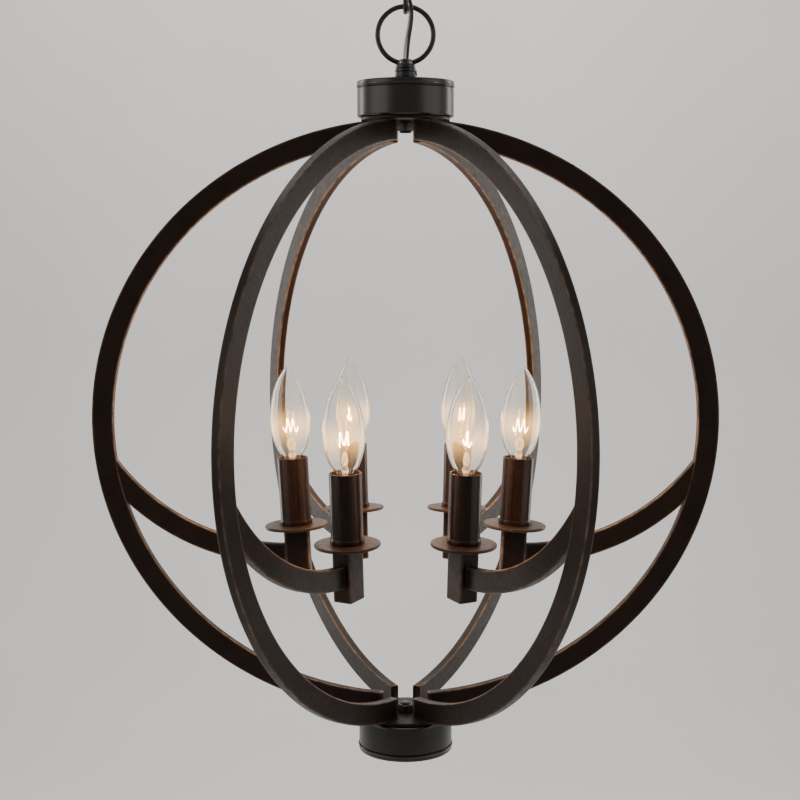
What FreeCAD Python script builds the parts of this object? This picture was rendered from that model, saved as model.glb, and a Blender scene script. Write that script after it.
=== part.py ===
import FreeCAD, Part
import math
import os
import re
import Sketcher
from FreeCAD import Placement, Rotation, Vector

# Six-light orb chandelier: a cage of six bent box-section ribs between a top hub and a
# bottom hub, an arm and a candle light on each rib, and a chain from a ceiling canopy.
# Millimetres, +Z up, origin on the ceiling at the middle of the bracket.
# Rib 1 points along +X, and the others follow every 60 degrees.

doc = FreeCAD.newDocument("orb_chandelier")

# ---------------------------------------------------------------- driving dimensions
SIZES = [
    # cage
    ("orb_width", 500, "across the outside of two opposite ribs"),
    ("orb_height", 478, "top to bottom of the cage's outer oval"),
    ("rib_count", 6, "ribs, arms and lights round the cage"),
    ("bar_depth", 17, "depth of the box-section bar, towards the axis"),
    ("bar_thickness", 7, "thickness of the bar, along the ring of ribs"),
    ("bar_wall", 1.2, "wall of the box-section bar"),
    ("rib_end_radius", 18, "from the axis to the end of a rib"),
    ("rib_seat_drop", 2, "depth of the flat filed on a rib where it meets its plate"),
    ("rib_screw_radius", 28.5, "from the axis to a rib's screw"),
    ("lead_hole_radius", 21.5, "from the axis to the hole where a lead leaves the rib"),
    ("lead_hole_diameter", 3.4, "hole for a branch lead"),
    # arms
    ("arm_bend_radius", 168, "inside radius of an arm's bend"),
    ("arm_bend_offset", 95.7, "from the axis to the centre of an arm's bend"),
    ("arm_drop", 106.8, "from the cage's middle down to the arm's middle at the post"),
    # candle posts and lights
    ("candle_radius", 86.5, "from the axis to a candle, at its arm"),
    ("candle_lean", 3, "degrees that a candle leans outwards"),
    ("post_depth", 20, "candle post, towards the axis"),
    ("post_width", 16, "candle post, across the arm"),
    ("post_height", 43.5, "candle post"),
    ("post_rise", 23.5, "from the arm's middle up to the post's top"),
    ("post_corner", 1.5, "rounding of the post's upright edges"),
    ("nipple_diameter", 10, "outside of every threaded tube"),
    ("nipple_bore", 7.6, "bore of every threaded tube"),
    ("thread_clearance", 0.1, "radial clearance between a threaded tube and its hole"),
    ("candle_nipple_length", 24, "threaded tube between a post and its lamp socket"),
    ("candle_nipple_sunk", 11, "length of that tube inside the post"),
    ("drip_diameter", 50.5, "drip plate"),
    ("drip_web", 1.2, "drip plate, thickness of its flat"),
    ("drip_lip", 1.4, "how far the drip plate's lip is turned down"),
    ("sleeve_diameter", 24.6, "candle sleeve"),
    ("sleeve_height", 54, "candle sleeve"),
    ("sleeve_wall", 1.1, "candle sleeve"),
    ("sleeve_foot_height", 4, "thicker ring at the foot of the sleeve"),
    ("sleeve_foot_step", 0.7, "how far that ring stands out"),
    ("socket_diameter", 20, "lamp socket body"),
    ("socket_height", 50, "lamp socket body"),
    ("socket_floor", 24, "height of the floor that the screw shell stands on"),
    ("shell_wall", 0.4, "brass screw shell"),
    # lamps
    ("cap_diameter", 13.9, "screw cap of the lamp"),
    ("cap_height", 19, "screw cap of the lamp, threaded part"),
    ("cap_fit", 0.1, "radial clearance of the cap in its screw shell"),
    ("contact_height", 4.5, "insulator and tip contact under the cap"),
    ("contact_gap", 0.3, "between the lamp's tip contact and the socket"),
    ("glass_diameter", 31.8, "widest part of the candle-shaped glass"),
    ("glass_height", 79, "glass, from the top of the cap to the tip"),
    ("glass_wall", 0.7, "glass"),
    # hubs
    ("plate_diameter", 69.5, "plates that the ribs are screwed to"),
    ("plate_thickness", 3, "plates that the ribs are screwed to"),
    ("hub_diameter", 75.5, "top and bottom hub"),
    ("hub_cup_height", 23, "open cup of a hub"),
    ("hub_wall", 1.2, "sheet of the hubs"),
    ("hub_lid_height", 4.5, "skirt of a hub's lid"),
    ("hub_lid_step", 0.8, "how far the lid stands out from the cup"),
    ("screw_diameter", 4, "screws that hold the ribs"),
    ("screw_length", 9, "under the head"),
    ("screw_head_diameter", 7, "pan head"),
    ("screw_head_height", 2.6, "pan head"),
    ("block_outer", 48.8, "ring-shaped terminal block in the top hub"),
    ("block_inner", 28, "ring-shaped terminal block in the top hub"),
    ("block_height", 10, "ring-shaped terminal block in the top hub"),
    ("stud_diameter", 8, "stud through the bottom hub"),
    ("nut_across", 14, "hexagon nuts on the threaded tubes"),
    ("nut_height", 6, "hexagon nuts on the threaded tubes"),
    ("washer_diameter", 17, "washer under the stem's nut"),
    ("washer_thickness", 1.5, "washer under the stem's nut"),
    # hanging loop, chain and canopy
    ("loop_diameter", 47.3, "outside of the ring on the stem"),
    ("loop_wire", 4, "wire of the ring on the stem"),
    ("loop_base_diameter", 15.5, "round base of a ring"),
    ("loop_base_height", 6.2, "round base of a ring"),
    ("collar_diameter", 16.6, "collar under the ring"),
    ("collar_height", 6.8, "collar under the ring"),
    ("neck_height", 3, "threaded tube that shows between hub and collar"),
    ("set_screw_diameter", 3, "set screw in the collar"),
    ("link_length", 38, "outside of a chain link"),
    ("link_width", 25, "outside of a chain link"),
    ("link_wire", 4, "wire of a chain link"),
    ("chain_gap", 0.3, "between one wire and the next where they hang"),
    ("canopy_loop_diameter", 34, "outside of the ring on the canopy"),
    ("canopy_diameter", 120, "ceiling canopy"),
    ("canopy_depth", 26, "ceiling canopy"),
    ("canopy_wall", 1, "ceiling canopy"),
    ("canopy_collar_diameter", 20, "collar under the canopy"),
    ("canopy_collar_height", 6, "collar under the canopy"),
    ("bracket_length", 104, "crossbar on the ceiling"),
    ("bracket_width", 18, "crossbar on the ceiling"),
    ("bracket_thickness", 2.5, "crossbar on the ceiling"),
    ("bracket_hole_spacing", 80, "between the two ceiling screws"),
    ("bracket_hole_diameter", 5, "holes for the ceiling screws"),
    # leads
    ("strand_diameter", 2.4, "each strand of the supply lead"),
    ("strand_spacing", 2.6, "between the two strands in the threaded tubes"),
    ("branch_diameter", 2.4, "lead inside a rib"),
]

# ------------------------------------------------------------------ levels and offsets
LEVELS = [
    # down the chain: the pivots are the wires that the next piece hangs on
    ("canopy_collar_base", "0 - canopy_depth - canopy_collar_height"),
    ("canopy_loop_base", "canopy_collar_base - loop_base_height"),
    ("canopy_ring_centre", "canopy_loop_base - (canopy_loop_diameter / 2 - loop_wire)"),
    ("first_pivot", "canopy_ring_centre - (canopy_loop_diameter - loop_wire) / 2"),
    ("wire_step", "(link_wire + loop_wire) / 2 + chain_gap"),
    ("link_step", "link_wire + chain_gap"),
    ("first_link_top", "first_pivot + wire_step"),
    ("second_pivot", "first_link_top - (link_length - link_wire)"),
    ("second_link_top", "second_pivot + link_step"),
    ("third_pivot", "second_link_top - (link_length - link_wire)"),
    ("loop_ring_centre", "third_pivot + wire_step - (loop_diameter - loop_wire) / 2"),
    ("loop_base_top", "loop_ring_centre - (loop_diameter / 2 - loop_wire)"),
    ("collar_top", "loop_base_top - loop_base_height"),
    ("neck_top", "collar_top - collar_height"),
    ("top_lid_face", "neck_top - neck_height"),
    ("top_lid_seam", "top_lid_face - hub_lid_height"),
    ("top_cup_base", "top_lid_seam - hub_cup_height"),
    ("top_seat", "top_cup_base - plate_thickness"),
    ("seat_height", "orb_height / 2 - rib_seat_drop"),
    ("orb_centre", "top_seat - seat_height"),
    ("bottom_seat", "orb_centre - seat_height"),
    ("bottom_cup_base", "bottom_seat - plate_thickness"),
    ("bottom_lid_seam", "bottom_cup_base - hub_cup_height"),
    ("bottom_lid_face", "bottom_lid_seam - hub_lid_height"),
    # across
    ("tube_hole", "nipple_diameter / 2 + thread_clearance"),
    ("hub_radius", "hub_diameter / 2"),
    ("lid_radius", "hub_diameter / 2 + hub_lid_step"),
    ("shell_inner", "cap_diameter / 2 + cap_fit"),
    ("shell_outer", "shell_inner + shell_wall"),
    # up a candle, from the top of its drip plate
    ("post_top", "0 - drip_web"),
    ("cap_base", "socket_floor + shell_wall + contact_gap + contact_height"),
    ("cap_top", "cap_base + cap_height"),
]

SIZE_NAMES = [row[0] for row in SIZES]
LEVEL_NAMES = [row[0] for row in LEVELS]


def bound(text, level_sheet="Levels."):
    """An expression with each size and level named as a cell of its sheet."""
    def cell(found):
        word = found.group(0)
        if word in SIZE_NAMES:
            return "Sizes." + word
        if word in LEVEL_NAMES:
            return level_sheet + word
        return word
    return re.sub(r"[a-z][a-z_]+", cell, text)


sizes = doc.addObject("Spreadsheet::Sheet", "Sizes")
for row, (alias, number, note) in enumerate(SIZES, 1):
    sizes.set(f"A{row}", alias)
    sizes.set(f"B{row}", str(number))
    sizes.set(f"C{row}", note)
    sizes.setAlias(f"B{row}", alias)
levels = doc.addObject("Spreadsheet::Sheet", "Levels")
for row, (alias, formula) in enumerate(LEVELS, 1):
    levels.set(f"A{row}", alias)
    levels.set(f"B{row}", "=" + bound(formula, level_sheet=""))
    levels.setAlias(f"B{row}", alias)
doc.recompute()


def mm(name):
    """The value of a size or a level."""
    sheet = sizes if name in SIZE_NAMES else levels
    return float(sheet.get(name))


nodes = {}


def keep(node, thing):
    """Names a finished piece and keeps it for export."""
    thing.Label = node
    nodes[node] = thing
    return thing


# ------------------------------------------------------------------- ways of making
def origin_plane(body, role):
    return [plane for plane in body.Origin.OriginFeatures if plane.Role == role][0]


def outline(body, role, corners):
    """A closed sketch whose corners are bound to the sheets, two expressions each."""
    sketch = body.newObject("Sketcher::SketchObject", body.Name + "Outline")
    sketch.AttachmentSupport = (origin_plane(body, role), [""])
    sketch.MapMode = "FlatFace"
    count = len(corners)
    start = [Rotation(Vector(0, 0, 1), 360 * n / count).multVec(Vector(9, 0, 0)) for n in range(count)]
    for n in range(count):
        sketch.addGeometry(Part.LineSegment(start[n], start[(n + 1) % count]), False)
    for n in range(count):
        sketch.addConstraint(Sketcher.Constraint("Coincident", n, 2, (n + 1) % count, 1))
    for n, corner in enumerate(corners):
        for kind, expression in zip(("DistanceX", "DistanceY"), corner):
            index = sketch.addConstraint(Sketcher.Constraint(kind, -1, 1, n, 1, 1.0))
            sketch.setExpression(f"Constraints[{index}]", bound(expression))
    return sketch


def turned(label, corners):
    """A body turned about the Z axis from corners of radius and height."""
    body = doc.addObject("PartDesign::Body", label)
    sketch = outline(body, "XZ_Plane", corners)
    turn = body.newObject("PartDesign::Revolution", label + "Turn")
    turn.Profile = sketch
    turn.ReferenceAxis = (sketch, ["V_Axis"])
    turn.Angle = 360
    sketch.Visibility = False
    return body


def ring_corners(inner, outer, low, high):
    return [(inner, low), (outer, low), (outer, high), (inner, high)]


def cylinder(label, radius, low, height, along=None, x="0", y="0"):
    """A Part cylinder bound to the sheets, upright unless along turns it."""
    solid = doc.addObject("Part::Cylinder", label)
    solid.setExpression("Radius", bound(radius))
    solid.setExpression("Height", bound(height))
    if along:
        solid.Placement = Placement(Vector(), along)
    solid.setExpression(".Placement.Base.x", bound(x))
    solid.setExpression(".Placement.Base.y", bound(y))
    solid.setExpression(".Placement.Base.z", bound(low))
    return solid


def box(label, length, width, height, x, y, z):
    """A Part box bound to the sheets, from its low corner."""
    solid = doc.addObject("Part::Box", label)
    for key, text in (("Length", length), ("Width", width), ("Height", height),
                      (".Placement.Base.x", x), (".Placement.Base.y", y), (".Placement.Base.z", z)):
        solid.setExpression(key, bound(text))
    return solid


def cut(label, base, *tools):
    """The base with each tool taken away in turn, checked to have lost volume each time."""
    for n, tool in enumerate(tools):
        step = doc.addObject("Part::Cut", f"{label}Cut{n}")
        step.Base = base
        step.Tool = tool
        doc.recompute()
        if not step.Shape.Volume < base.Shape.Volume:
            raise RuntimeError(f"{label}: cut {n} takes nothing away")
        base = step
    return base


def fused(label, *parts):
    step = doc.addObject("Part::MultiFuse", label + "Fuse")
    step.Shapes = list(parts)
    doc.recompute()
    return step


def hexagon_nut(node, across, bore, low, height):
    blank = doc.addObject("Part::Prism", node + "Hexagon")
    blank.Polygon = 6
    blank.setExpression("Circumradius", bound(f"{across} / 2 / cos(30)"))
    blank.setExpression("Height", bound(height))
    blank.setExpression(".Placement.Base.z", bound(low))
    hole = cylinder(node + "Bore", bore, low, height)
    return keep(node, cut(node, blank, hole))


def shaped(node, shape, place=Placement()):
    """A node whose shape is worked out here from the sheets' values."""
    feature = doc.addObject("Part::Feature", node)
    feature.Shape = shape
    feature.Placement = place
    return keep(node, feature)


def copies(blank, places):
    """A compound of one copy of the blank's shape at each place."""
    solids = []
    for place in places:
        solid = blank.copy()
        solid.Placement = place.multiply(solid.Placement)
        solids.append(solid)
    return Part.makeCompound(solids)


def about_axis(angle):
    return Placement(Vector(), Rotation(Vector(0, 0, 1), angle))


rib_angles = [360 * n / mm("rib_count") for n in range(int(mm("rib_count")))]


def candle_place(angle):
    """Frame of one candle: the top of its drip plate, leaning outwards about its arm."""
    lean = Rotation(Vector(0, 1, 0), mm("candle_lean"))
    arm = Vector(mm("candle_radius"), 0, mm("orb_centre") - mm("arm_drop"))
    plate_top = arm + lean.multVec(Vector(0, 0, mm("post_rise") + mm("drip_web")))
    return about_axis(angle).multiply(Placement(plate_top, lean))


candle_places = [candle_place(angle) for angle in rib_angles]

# -------------------------------------------------------------------- ceiling canopy
bar = box("BracketBar", "bracket_length", "bracket_width", "bracket_thickness",
          "0 - bracket_length / 2", "0 - bracket_width / 2", "0 - bracket_thickness")
bar_holes = [cylinder("BracketTubeHole", "tube_hole", "0 - bracket_thickness", "bracket_thickness")]
for side, sign in (("Left", "0 -"), ("Right", "0 +")):
    bar_holes.append(cylinder("BracketHole" + side, "bracket_hole_diameter / 2",
                              "0 - bracket_thickness", "bracket_thickness",
                              x=f"{sign} bracket_hole_spacing / 2"))
keep("ceiling_bracket", cut("Bracket", bar, *bar_holes))
hexagon_nut("bracket_nut", "nut_across", "tube_hole", "0 - bracket_thickness - nut_height", "nut_height")

# The canopy is a spun dish: a flat floor, a sloped shoulder and a straight rim on the ceiling.
keep("canopy", turned("Canopy", [
    ("tube_hole", "0 - canopy_depth"),
    ("canopy_diameter * 0.30", "0 - canopy_depth"),
    ("canopy_diameter / 2 - canopy_wall", "0 - canopy_depth * 0.35"),
    ("canopy_diameter / 2", "0 - canopy_depth * 0.28"),
    ("canopy_diameter / 2", "0"),
    ("canopy_diameter / 2 - canopy_wall", "0"),
    ("canopy_diameter / 2 - canopy_wall", "0 - canopy_depth * 0.28"),
    ("canopy_diameter * 0.30 - canopy_wall * 0.4", "canopy_wall - canopy_depth"),
    ("tube_hole", "canopy_wall - canopy_depth")]))
keep("canopy_nipple", turned("CanopyNipple", ring_corners(
    "nipple_bore / 2", "nipple_diameter / 2", "canopy_loop_base + loop_base_height / 3", "0 - chain_gap")))
keep("canopy_collar", turned("CanopyCollar", [
    ("tube_hole", "canopy_collar_base"),
    ("canopy_collar_diameter / 2 - 1.5", "canopy_collar_base"),
    ("canopy_collar_diameter / 2", "canopy_collar_base + 1.5"),
    ("canopy_collar_diameter / 2", "0 - canopy_depth"),
    ("tube_hole", "0 - canopy_depth")]))


# ------------------------------------------------------------------ rings and chain
def loop_ring(name, diameter, centre, base_low, tube_low, quarter_turn):
    """A cast ring on a round base, drilled for the threaded tube and the lead."""
    ring = doc.addObject("Part::Torus", name + "Ring")
    ring.setExpression("Radius1", bound(f"({diameter} - loop_wire) / 2"))
    ring.setExpression("Radius2", bound("loop_wire / 2"))
    ring.Placement = Placement(Vector(), Rotation(Vector(0, 0, 1), quarter_turn).multiply(
        Rotation(Vector(1, 0, 0), 90)))
    ring.setExpression(".Placement.Base.z", bound(centre))
    base = cylinder(name + "Base", "loop_base_diameter / 2", base_low, "loop_base_height")
    whole = fused(name, ring, base)
    lead_way = cylinder(name + "LeadWay", "nipple_bore / 2", base_low + " - loop_wire",
                        "loop_base_height + loop_wire * 2")
    tube_way = cylinder(name + "TubeWay", "tube_hole", tube_low, "loop_base_height * 2 / 3")
    return cut(name, whole, lead_way, tube_way)


keep("canopy_loop", loop_ring("CanopyLoop", "canopy_loop_diameter", "canopy_ring_centre",
                              "canopy_loop_base", "canopy_loop_base + loop_base_height / 3", 90))
keep("hang_loop", loop_ring("HangLoop", "loop_diameter", "loop_ring_centre",
                            "loop_base_top - loop_base_height", "loop_base_top - loop_base_height", 0))


def chain_link(node, top, turn):
    """An oval link: two straight runs and two half circles, swept with round wire."""
    half = (mm("link_width") - mm("link_wire")) / 2
    straight = mm("link_length") - mm("link_width")
    ends = [Vector(-half, 0, 0), Vector(0, 0, half), Vector(half, 0, 0)]
    down = Vector(0, 0, -straight)
    under = [ends[2] + down, Vector(0, 0, -half) + down, ends[0] + down]
    path = Part.Wire([
        Part.Arc(*ends).toShape(),
        Part.LineSegment(ends[2], under[0]).toShape(),
        Part.Arc(*under).toShape(),
        Part.LineSegment(under[2], ends[0]).toShape()])
    section = Part.Wire(Part.Circle(ends[0], Vector(0, 0, 1), mm("link_wire") / 2).toShape())
    link = path.makePipeShell([section], True, False)
    place = Placement(Vector(0, 0, mm(top) - half), Rotation(Vector(0, 0, 1), turn))
    return shaped(node, link, place)


chain_link("chain_link_1", "first_link_top", 0)
chain_link("chain_link_2", "second_link_top", 90)

# --------------------------------------------------------------------- stem and collar
collar = turned("LoopCollar", [
    ("tube_hole", "neck_top"),
    ("collar_diameter / 2 - 0.6", "neck_top"),
    ("collar_diameter / 2", "neck_top + 0.6"),
    ("collar_diameter / 2", "collar_top - 0.6"),
    ("collar_diameter / 2 - 0.6", "collar_top"),
    ("tube_hole", "collar_top")])
sideways = Rotation(Vector(0, 1, 0), 90)
screw_way = cylinder("SetScrewWay", "set_screw_diameter / 2 + thread_clearance", "neck_top + collar_height / 2",
                     "collar_diameter", along=sideways)
keep("loop_collar", cut("CollarDrilled", collar, screw_way))
screw_shank = cylinder("SetScrewShank", "set_screw_diameter / 2", "neck_top + collar_height / 2",
                       "collar_diameter / 2 - tube_hole", along=sideways, x="tube_hole")
screw_head = cylinder("SetScrewHead", "set_screw_diameter * 0.8", "neck_top + collar_height / 2",
                      "1", along=sideways, x="collar_diameter / 2 + thread_clearance")
neck = cylinder("SetScrewNeck", "set_screw_diameter / 2", "neck_top + collar_height / 2",
                "thread_clearance", along=sideways, x="collar_diameter / 2")
keep("loop_screw", fused("SetScrew", screw_shank, neck, screw_head))

stem = turned("StemTube", ring_corners(
    "nipple_bore / 2", "nipple_diameter / 2",
    "top_seat - washer_thickness - nut_height - 1.5", "collar_top + loop_base_height * 2 / 3"))
window = box("StemWindow", "nipple_diameter * 2", "strand_diameter + 1.6", "block_height",
             "0 - nipple_diameter", "0 - strand_diameter / 2 - 0.8", "top_cup_base + hub_wall + 2.5")
keep("stem_nipple", cut("Stem", stem, window))
keep("stem_washer", turned("StemWasher", ring_corners(
    "tube_hole", "washer_diameter / 2", "top_seat - washer_thickness", "top_seat")))
hexagon_nut("stem_nut", "nut_across", "tube_hole", "top_seat - washer_thickness - nut_height", "nut_height")


# ---------------------------------------------------------------------------- hubs
def around(name, radius, circle, low, height):
    """One upright hole per rib, as a group of cylinders."""
    tool = Part.makeCylinder(mm_of(radius), mm_of(height), Vector(mm(circle), 0, mm_of(low)))
    feature = doc.addObject("Part::Feature", name)
    feature.Shape = copies(tool, [about_axis(angle) for angle in rib_angles])
    return feature


def mm_of(terms):
    """A sum of sizes, levels and numbers, given as a list of signed terms."""
    total = 0.0
    for sign, term in terms:
        total += sign * (mm(term) if isinstance(term, str) else term)
    return total


screw_hole = [(0.5, "screw_diameter"), (1, "thread_clearance")]
lead_hole = [(0.5, "lead_hole_diameter")]


def rib_plate(node, low, with_leads):
    """The disc that six rib ends are screwed to."""
    disc = turned(node + "Disc", ring_corners("tube_hole", "plate_diameter / 2", low, low + " + plate_thickness"))
    depth = [(1, "plate_thickness"), (2, 1)]
    tools = [around(node + "Screws", screw_hole, "rib_screw_radius", [(1, low), (-1, 1)], depth)]
    if with_leads:
        tools.append(around(node + "Leads", lead_hole, "lead_hole_radius", [(1, low), (-1, 1)], depth))
    return keep(node, cut(node + "Drilled", disc, *tools))


def hub_cup(node, floor, seam, inward, with_leads):
    """A pressed cup, its floor on the plate and its mouth at the lid's seam."""
    cup = turned(node + "Turned", [
        ("tube_hole", floor),
        ("hub_radius - 1", floor),
        ("hub_radius", f"{floor} {inward} 1"),
        ("hub_radius", seam),
        ("hub_radius - hub_wall", seam),
        ("hub_radius - hub_wall", f"{floor} {inward} hub_wall"),
        ("tube_hole", f"{floor} {inward} hub_wall")])
    depth = [(2, "hub_wall"), (2, 1)]
    base = [(1, floor), (-1, "hub_wall"), (-1, 1)]
    tools = [around(node + "Screws", screw_hole, "rib_screw_radius", base, depth)]
    if with_leads:
        tools.append(around(node + "Leads", lead_hole, "lead_hole_radius", base, depth))
    return keep(node, cut(node + "Drilled", cup, *tools))


def hub_lid(node, seam, face, inward):
    """A pressed lid with a rounded edge, its skirt standing on the cup's mouth."""
    return keep(node, turned(node + "Turned", [
        ("tube_hole", face),
        ("lid_radius - 0.8", face),
        ("lid_radius", f"{face} {inward} 0.8"),
        ("lid_radius", seam),
        ("lid_radius - hub_wall - hub_lid_step", seam),
        ("lid_radius - hub_wall - hub_lid_step", f"{face} {inward} hub_wall"),
        ("tube_hole", f"{face} {inward} hub_wall")]))


rib_plate("top_plate", "top_seat", True)
rib_plate("bottom_plate", "bottom_cup_base", False)
hub_cup("hub_cup", "top_cup_base", "top_lid_seam", "+", True)
hub_cup("bottom_cup", "bottom_cup_base", "bottom_lid_seam", "-", False)
hub_lid("hub_lid", "top_lid_seam", "top_lid_face", "-")
hub_lid("bottom_lid", "bottom_lid_seam", "bottom_lid_face", "+")

# Pan-head screws go through cup and plate into the rib ends, heads inside the hubs.
screw_blank = turned("ScrewBlank", [
    ("0", "0 - screw_length"),
    ("screw_diameter / 2 - 0.5", "0 - screw_length"),
    ("screw_diameter / 2", "0.7 - screw_length"),
    ("screw_diameter / 2", "0"),
    ("screw_head_diameter / 2", "0"),
    ("screw_head_diameter / 2", "screw_head_height * 0.5"),
    ("screw_head_diameter / 2 - 1.2", "screw_head_height"),
    ("0", "screw_head_height")])
doc.recompute()
top_places = [about_axis(angle).multiply(Placement(Vector(
    mm("rib_screw_radius"), 0, mm("top_cup_base") + mm("hub_wall")), Rotation())) for angle in rib_angles]
bottom_places = [about_axis(angle).multiply(Placement(Vector(
    mm("rib_screw_radius"), 0, mm("bottom_cup_base") - mm("hub_wall")),
    Rotation(Vector(1, 0, 0), 180))) for angle in rib_angles]
shaped("top_screws", copies(screw_blank.Shape, top_places))
shaped("bottom_screws", copies(screw_blank.Shape, bottom_places))

# The stud ties the bottom lid to the plate; its nut shows between the rib ends.
keep("bottom_stud", turned("BottomStud", [
    ("0", "bottom_lid_face - 0.5"),
    ("nut_across / 2", "bottom_lid_face - 0.5"),
    ("nut_across / 2", "bottom_lid_face"),
    ("stud_diameter / 2", "bottom_lid_face"),
    ("stud_diameter / 2", "bottom_seat + nut_height + 1.5"),
    ("0", "bottom_seat + nut_height + 1.5")]))
hexagon_nut("bottom_nut", "nut_across", "stud_diameter / 2 + thread_clearance", "bottom_seat", "nut_height")

# Terminal block: a moulded ring with a blind hole for each branch lead and two for the supply.
block = turned("BlockRing", ring_corners(
    "block_inner / 2", "block_outer / 2", "top_cup_base + hub_wall", "top_cup_base + hub_wall + block_height"))
block_holes = around("BlockHoles", lead_hole, "lead_hole_radius", [(1, "top_cup_base")],
                     [(1, "hub_wall"), (0.7, "block_height")])
supply_hole = cylinder("SupplyHole", "strand_diameter / 2 + 0.3",
                       "top_cup_base + hub_wall + block_height / 2", "block_inner + 6",
                       along=sideways, x="0 - block_inner / 2 - 3")
keep("terminal_block", cut("Block", block, block_holes, supply_hole))


# --------------------------------------------------------------------- ribs and arms
def oval_slab(half_width, half_height, thickness):
    """An upright oval slab about the cage's middle, across the Y axis."""
    curve = Part.Ellipse(Vector(0, 0, 0), max(half_width, half_height), min(half_width, half_height)).toShape()
    if half_height > half_width:
        curve.rotate(Vector(0, 0, 0), Vector(0, 0, 1), 90)
    slab = Part.Face(Part.Wire(curve)).extrude(Vector(0, 0, thickness))
    slab.rotate(Vector(0, 0, 0), Vector(1, 0, 0), 90)
    slab.translate(Vector(0, thickness / 2, 0))
    return slab


def oval_band(inset, depth, thickness, end, flat):
    """One side of an oval band: from its end radius outwards, cut flat top and bottom."""
    width = mm("orb_width") / 2 - inset
    height = mm("orb_height") / 2 - inset
    band = oval_slab(width, height, thickness).cut(oval_slab(width - depth, height - depth, thickness * 2))
    keep_box = Part.makeBox(width, thickness * 2, flat * 2, Vector(end, -thickness, -flat))
    return band.common(keep_box)


def bend_ring(inset, thickness):
    """The full circle that an arm's bar is bent to, with its walls moved in by an inset."""
    centre = Vector(mm("arm_bend_offset"), thickness / 2, bend_height)
    inner = mm("arm_bend_radius") + inset
    outer = mm("arm_bend_radius") + mm("bar_depth") - inset
    toward = Vector(0, -1, 0)
    return Part.makeCylinder(outer, thickness, centre, toward).cut(
        Part.makeCylinder(inner, thickness, centre, toward))


depth = mm("bar_depth")
thickness = mm("bar_thickness")
wall = mm("bar_wall")
flat = mm("seat_height")
bend_height = mm("arm_bend_radius") + depth / 2 - mm("arm_drop")
lean = Rotation(Vector(0, 1, 0), mm("candle_lean"))
arm_middle = Vector(mm("candle_radius"), 0, -mm("arm_drop"))

# Everything inwards of the post's outer face, in the plane of a rib.
reach = mm("orb_width")
inward_side = Part.makeBox(reach, reach, reach * 2, Vector(-reach + mm("post_depth") / 2, -reach / 2, -reach))
inward_side.Placement = Placement(arm_middle, lean)
below_bend = Part.makeBox(reach, reach, reach, Vector(0, -reach / 2, -reach))

arm_hollow = bend_ring(wall, thickness - 2 * wall)
inside_rib = oval_slab(mm("orb_width") / 2 - wall, mm("orb_height") / 2 - wall, thickness)
lead_slot = arm_hollow.common(inside_rib).common(below_bend).cut(inward_side)

rib_bar = oval_band(0, depth, thickness, mm("rib_end_radius"), flat)
rib_hollow = oval_band(wall, depth - 2 * wall, thickness - 2 * wall, mm("rib_end_radius") + wall, flat - wall)
screw_tool = Part.makeCylinder(mm_of(screw_hole), 2 * (flat + 1), Vector(mm("rib_screw_radius"), 0, -flat - 1))
lead_tool = Part.makeCylinder(mm_of(lead_hole), 3 * wall, Vector(mm("lead_hole_radius"), 0, flat - 2 * wall))
near_ends = Part.makeBox(reach, reach, 2 * (flat - 3 * wall), Vector(-reach / 2, -reach / 2, -flat + 3 * wall))
rib_blank = rib_bar.cut(rib_hollow).cut(lead_slot).cut(screw_tool.cut(near_ends)).cut(lead_tool)
rib_blank = rib_blank.Solids[0]

inner_oval = oval_slab(mm("orb_width") / 2 - depth, mm("orb_height") / 2 - depth, thickness)
arm_bar = bend_ring(0, thickness).common(inner_oval).common(below_bend).cut(inward_side)
arm_blank = arm_bar.cut(arm_hollow).Solids[0]
if not arm_blank.Volume < arm_bar.Volume * 0.7:
    raise RuntimeError("the arm is not hollow")

for number, angle in enumerate(rib_angles, 1):
    place = Placement(Vector(0, 0, mm("orb_centre")), Rotation(Vector(0, 0, 1), angle))
    shaped(f"rib_{number}", rib_blank, place)
    shaped(f"arm_{number}", arm_blank, place)

# ------------------------------------------------------------------ candle posts, lights
# Each blank stands on its own axis with Z = 0 at the top of the drip plate.
post = doc.addObject("PartDesign::Body", "PostBlank")
post_plan = outline(post, "XY_Plane", [
    ("0 - post_depth / 2", "0 - post_width / 2"), ("post_depth / 2", "0 - post_width / 2"),
    ("post_depth / 2", "post_width / 2"), ("0 - post_depth / 2", "post_width / 2")])
post_plan.AttachmentOffset = Placement(Vector(), Rotation())
post_plan.setExpression(".AttachmentOffset.Base.z", bound("post_top - post_height"))
post_pad = post.newObject("PartDesign::Pad", "PostPad")
post_pad.Profile = post_plan
post_pad.setExpression("Length", bound("post_height"))
doc.recompute()
upright = [f"Edge{n}" for n, edge in enumerate(post_pad.Shape.Edges, 1)
           if abs(edge.tangentAt(edge.FirstParameter).z) > 0.99]
post_round = post.newObject("PartDesign::Fillet", "PostRound")
post_round.Base = (post_pad, upright)
post_round.setExpression("Radius", bound("post_corner"))
doc.recompute()
post_bore = cylinder("PostBore", "tube_hole", "post_top - post_rise - 8", "post_rise + 8")
post_slot = box("PostSlot", "post_depth / 2 + 1", "bar_thickness - 2 * bar_wall", "bar_depth - 2 * bar_wall",
                "0", "bar_wall - bar_thickness / 2", "post_top - post_rise - bar_depth / 2 + bar_wall")
post_blank = cut("Post", post, post_bore, post_slot)

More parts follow.
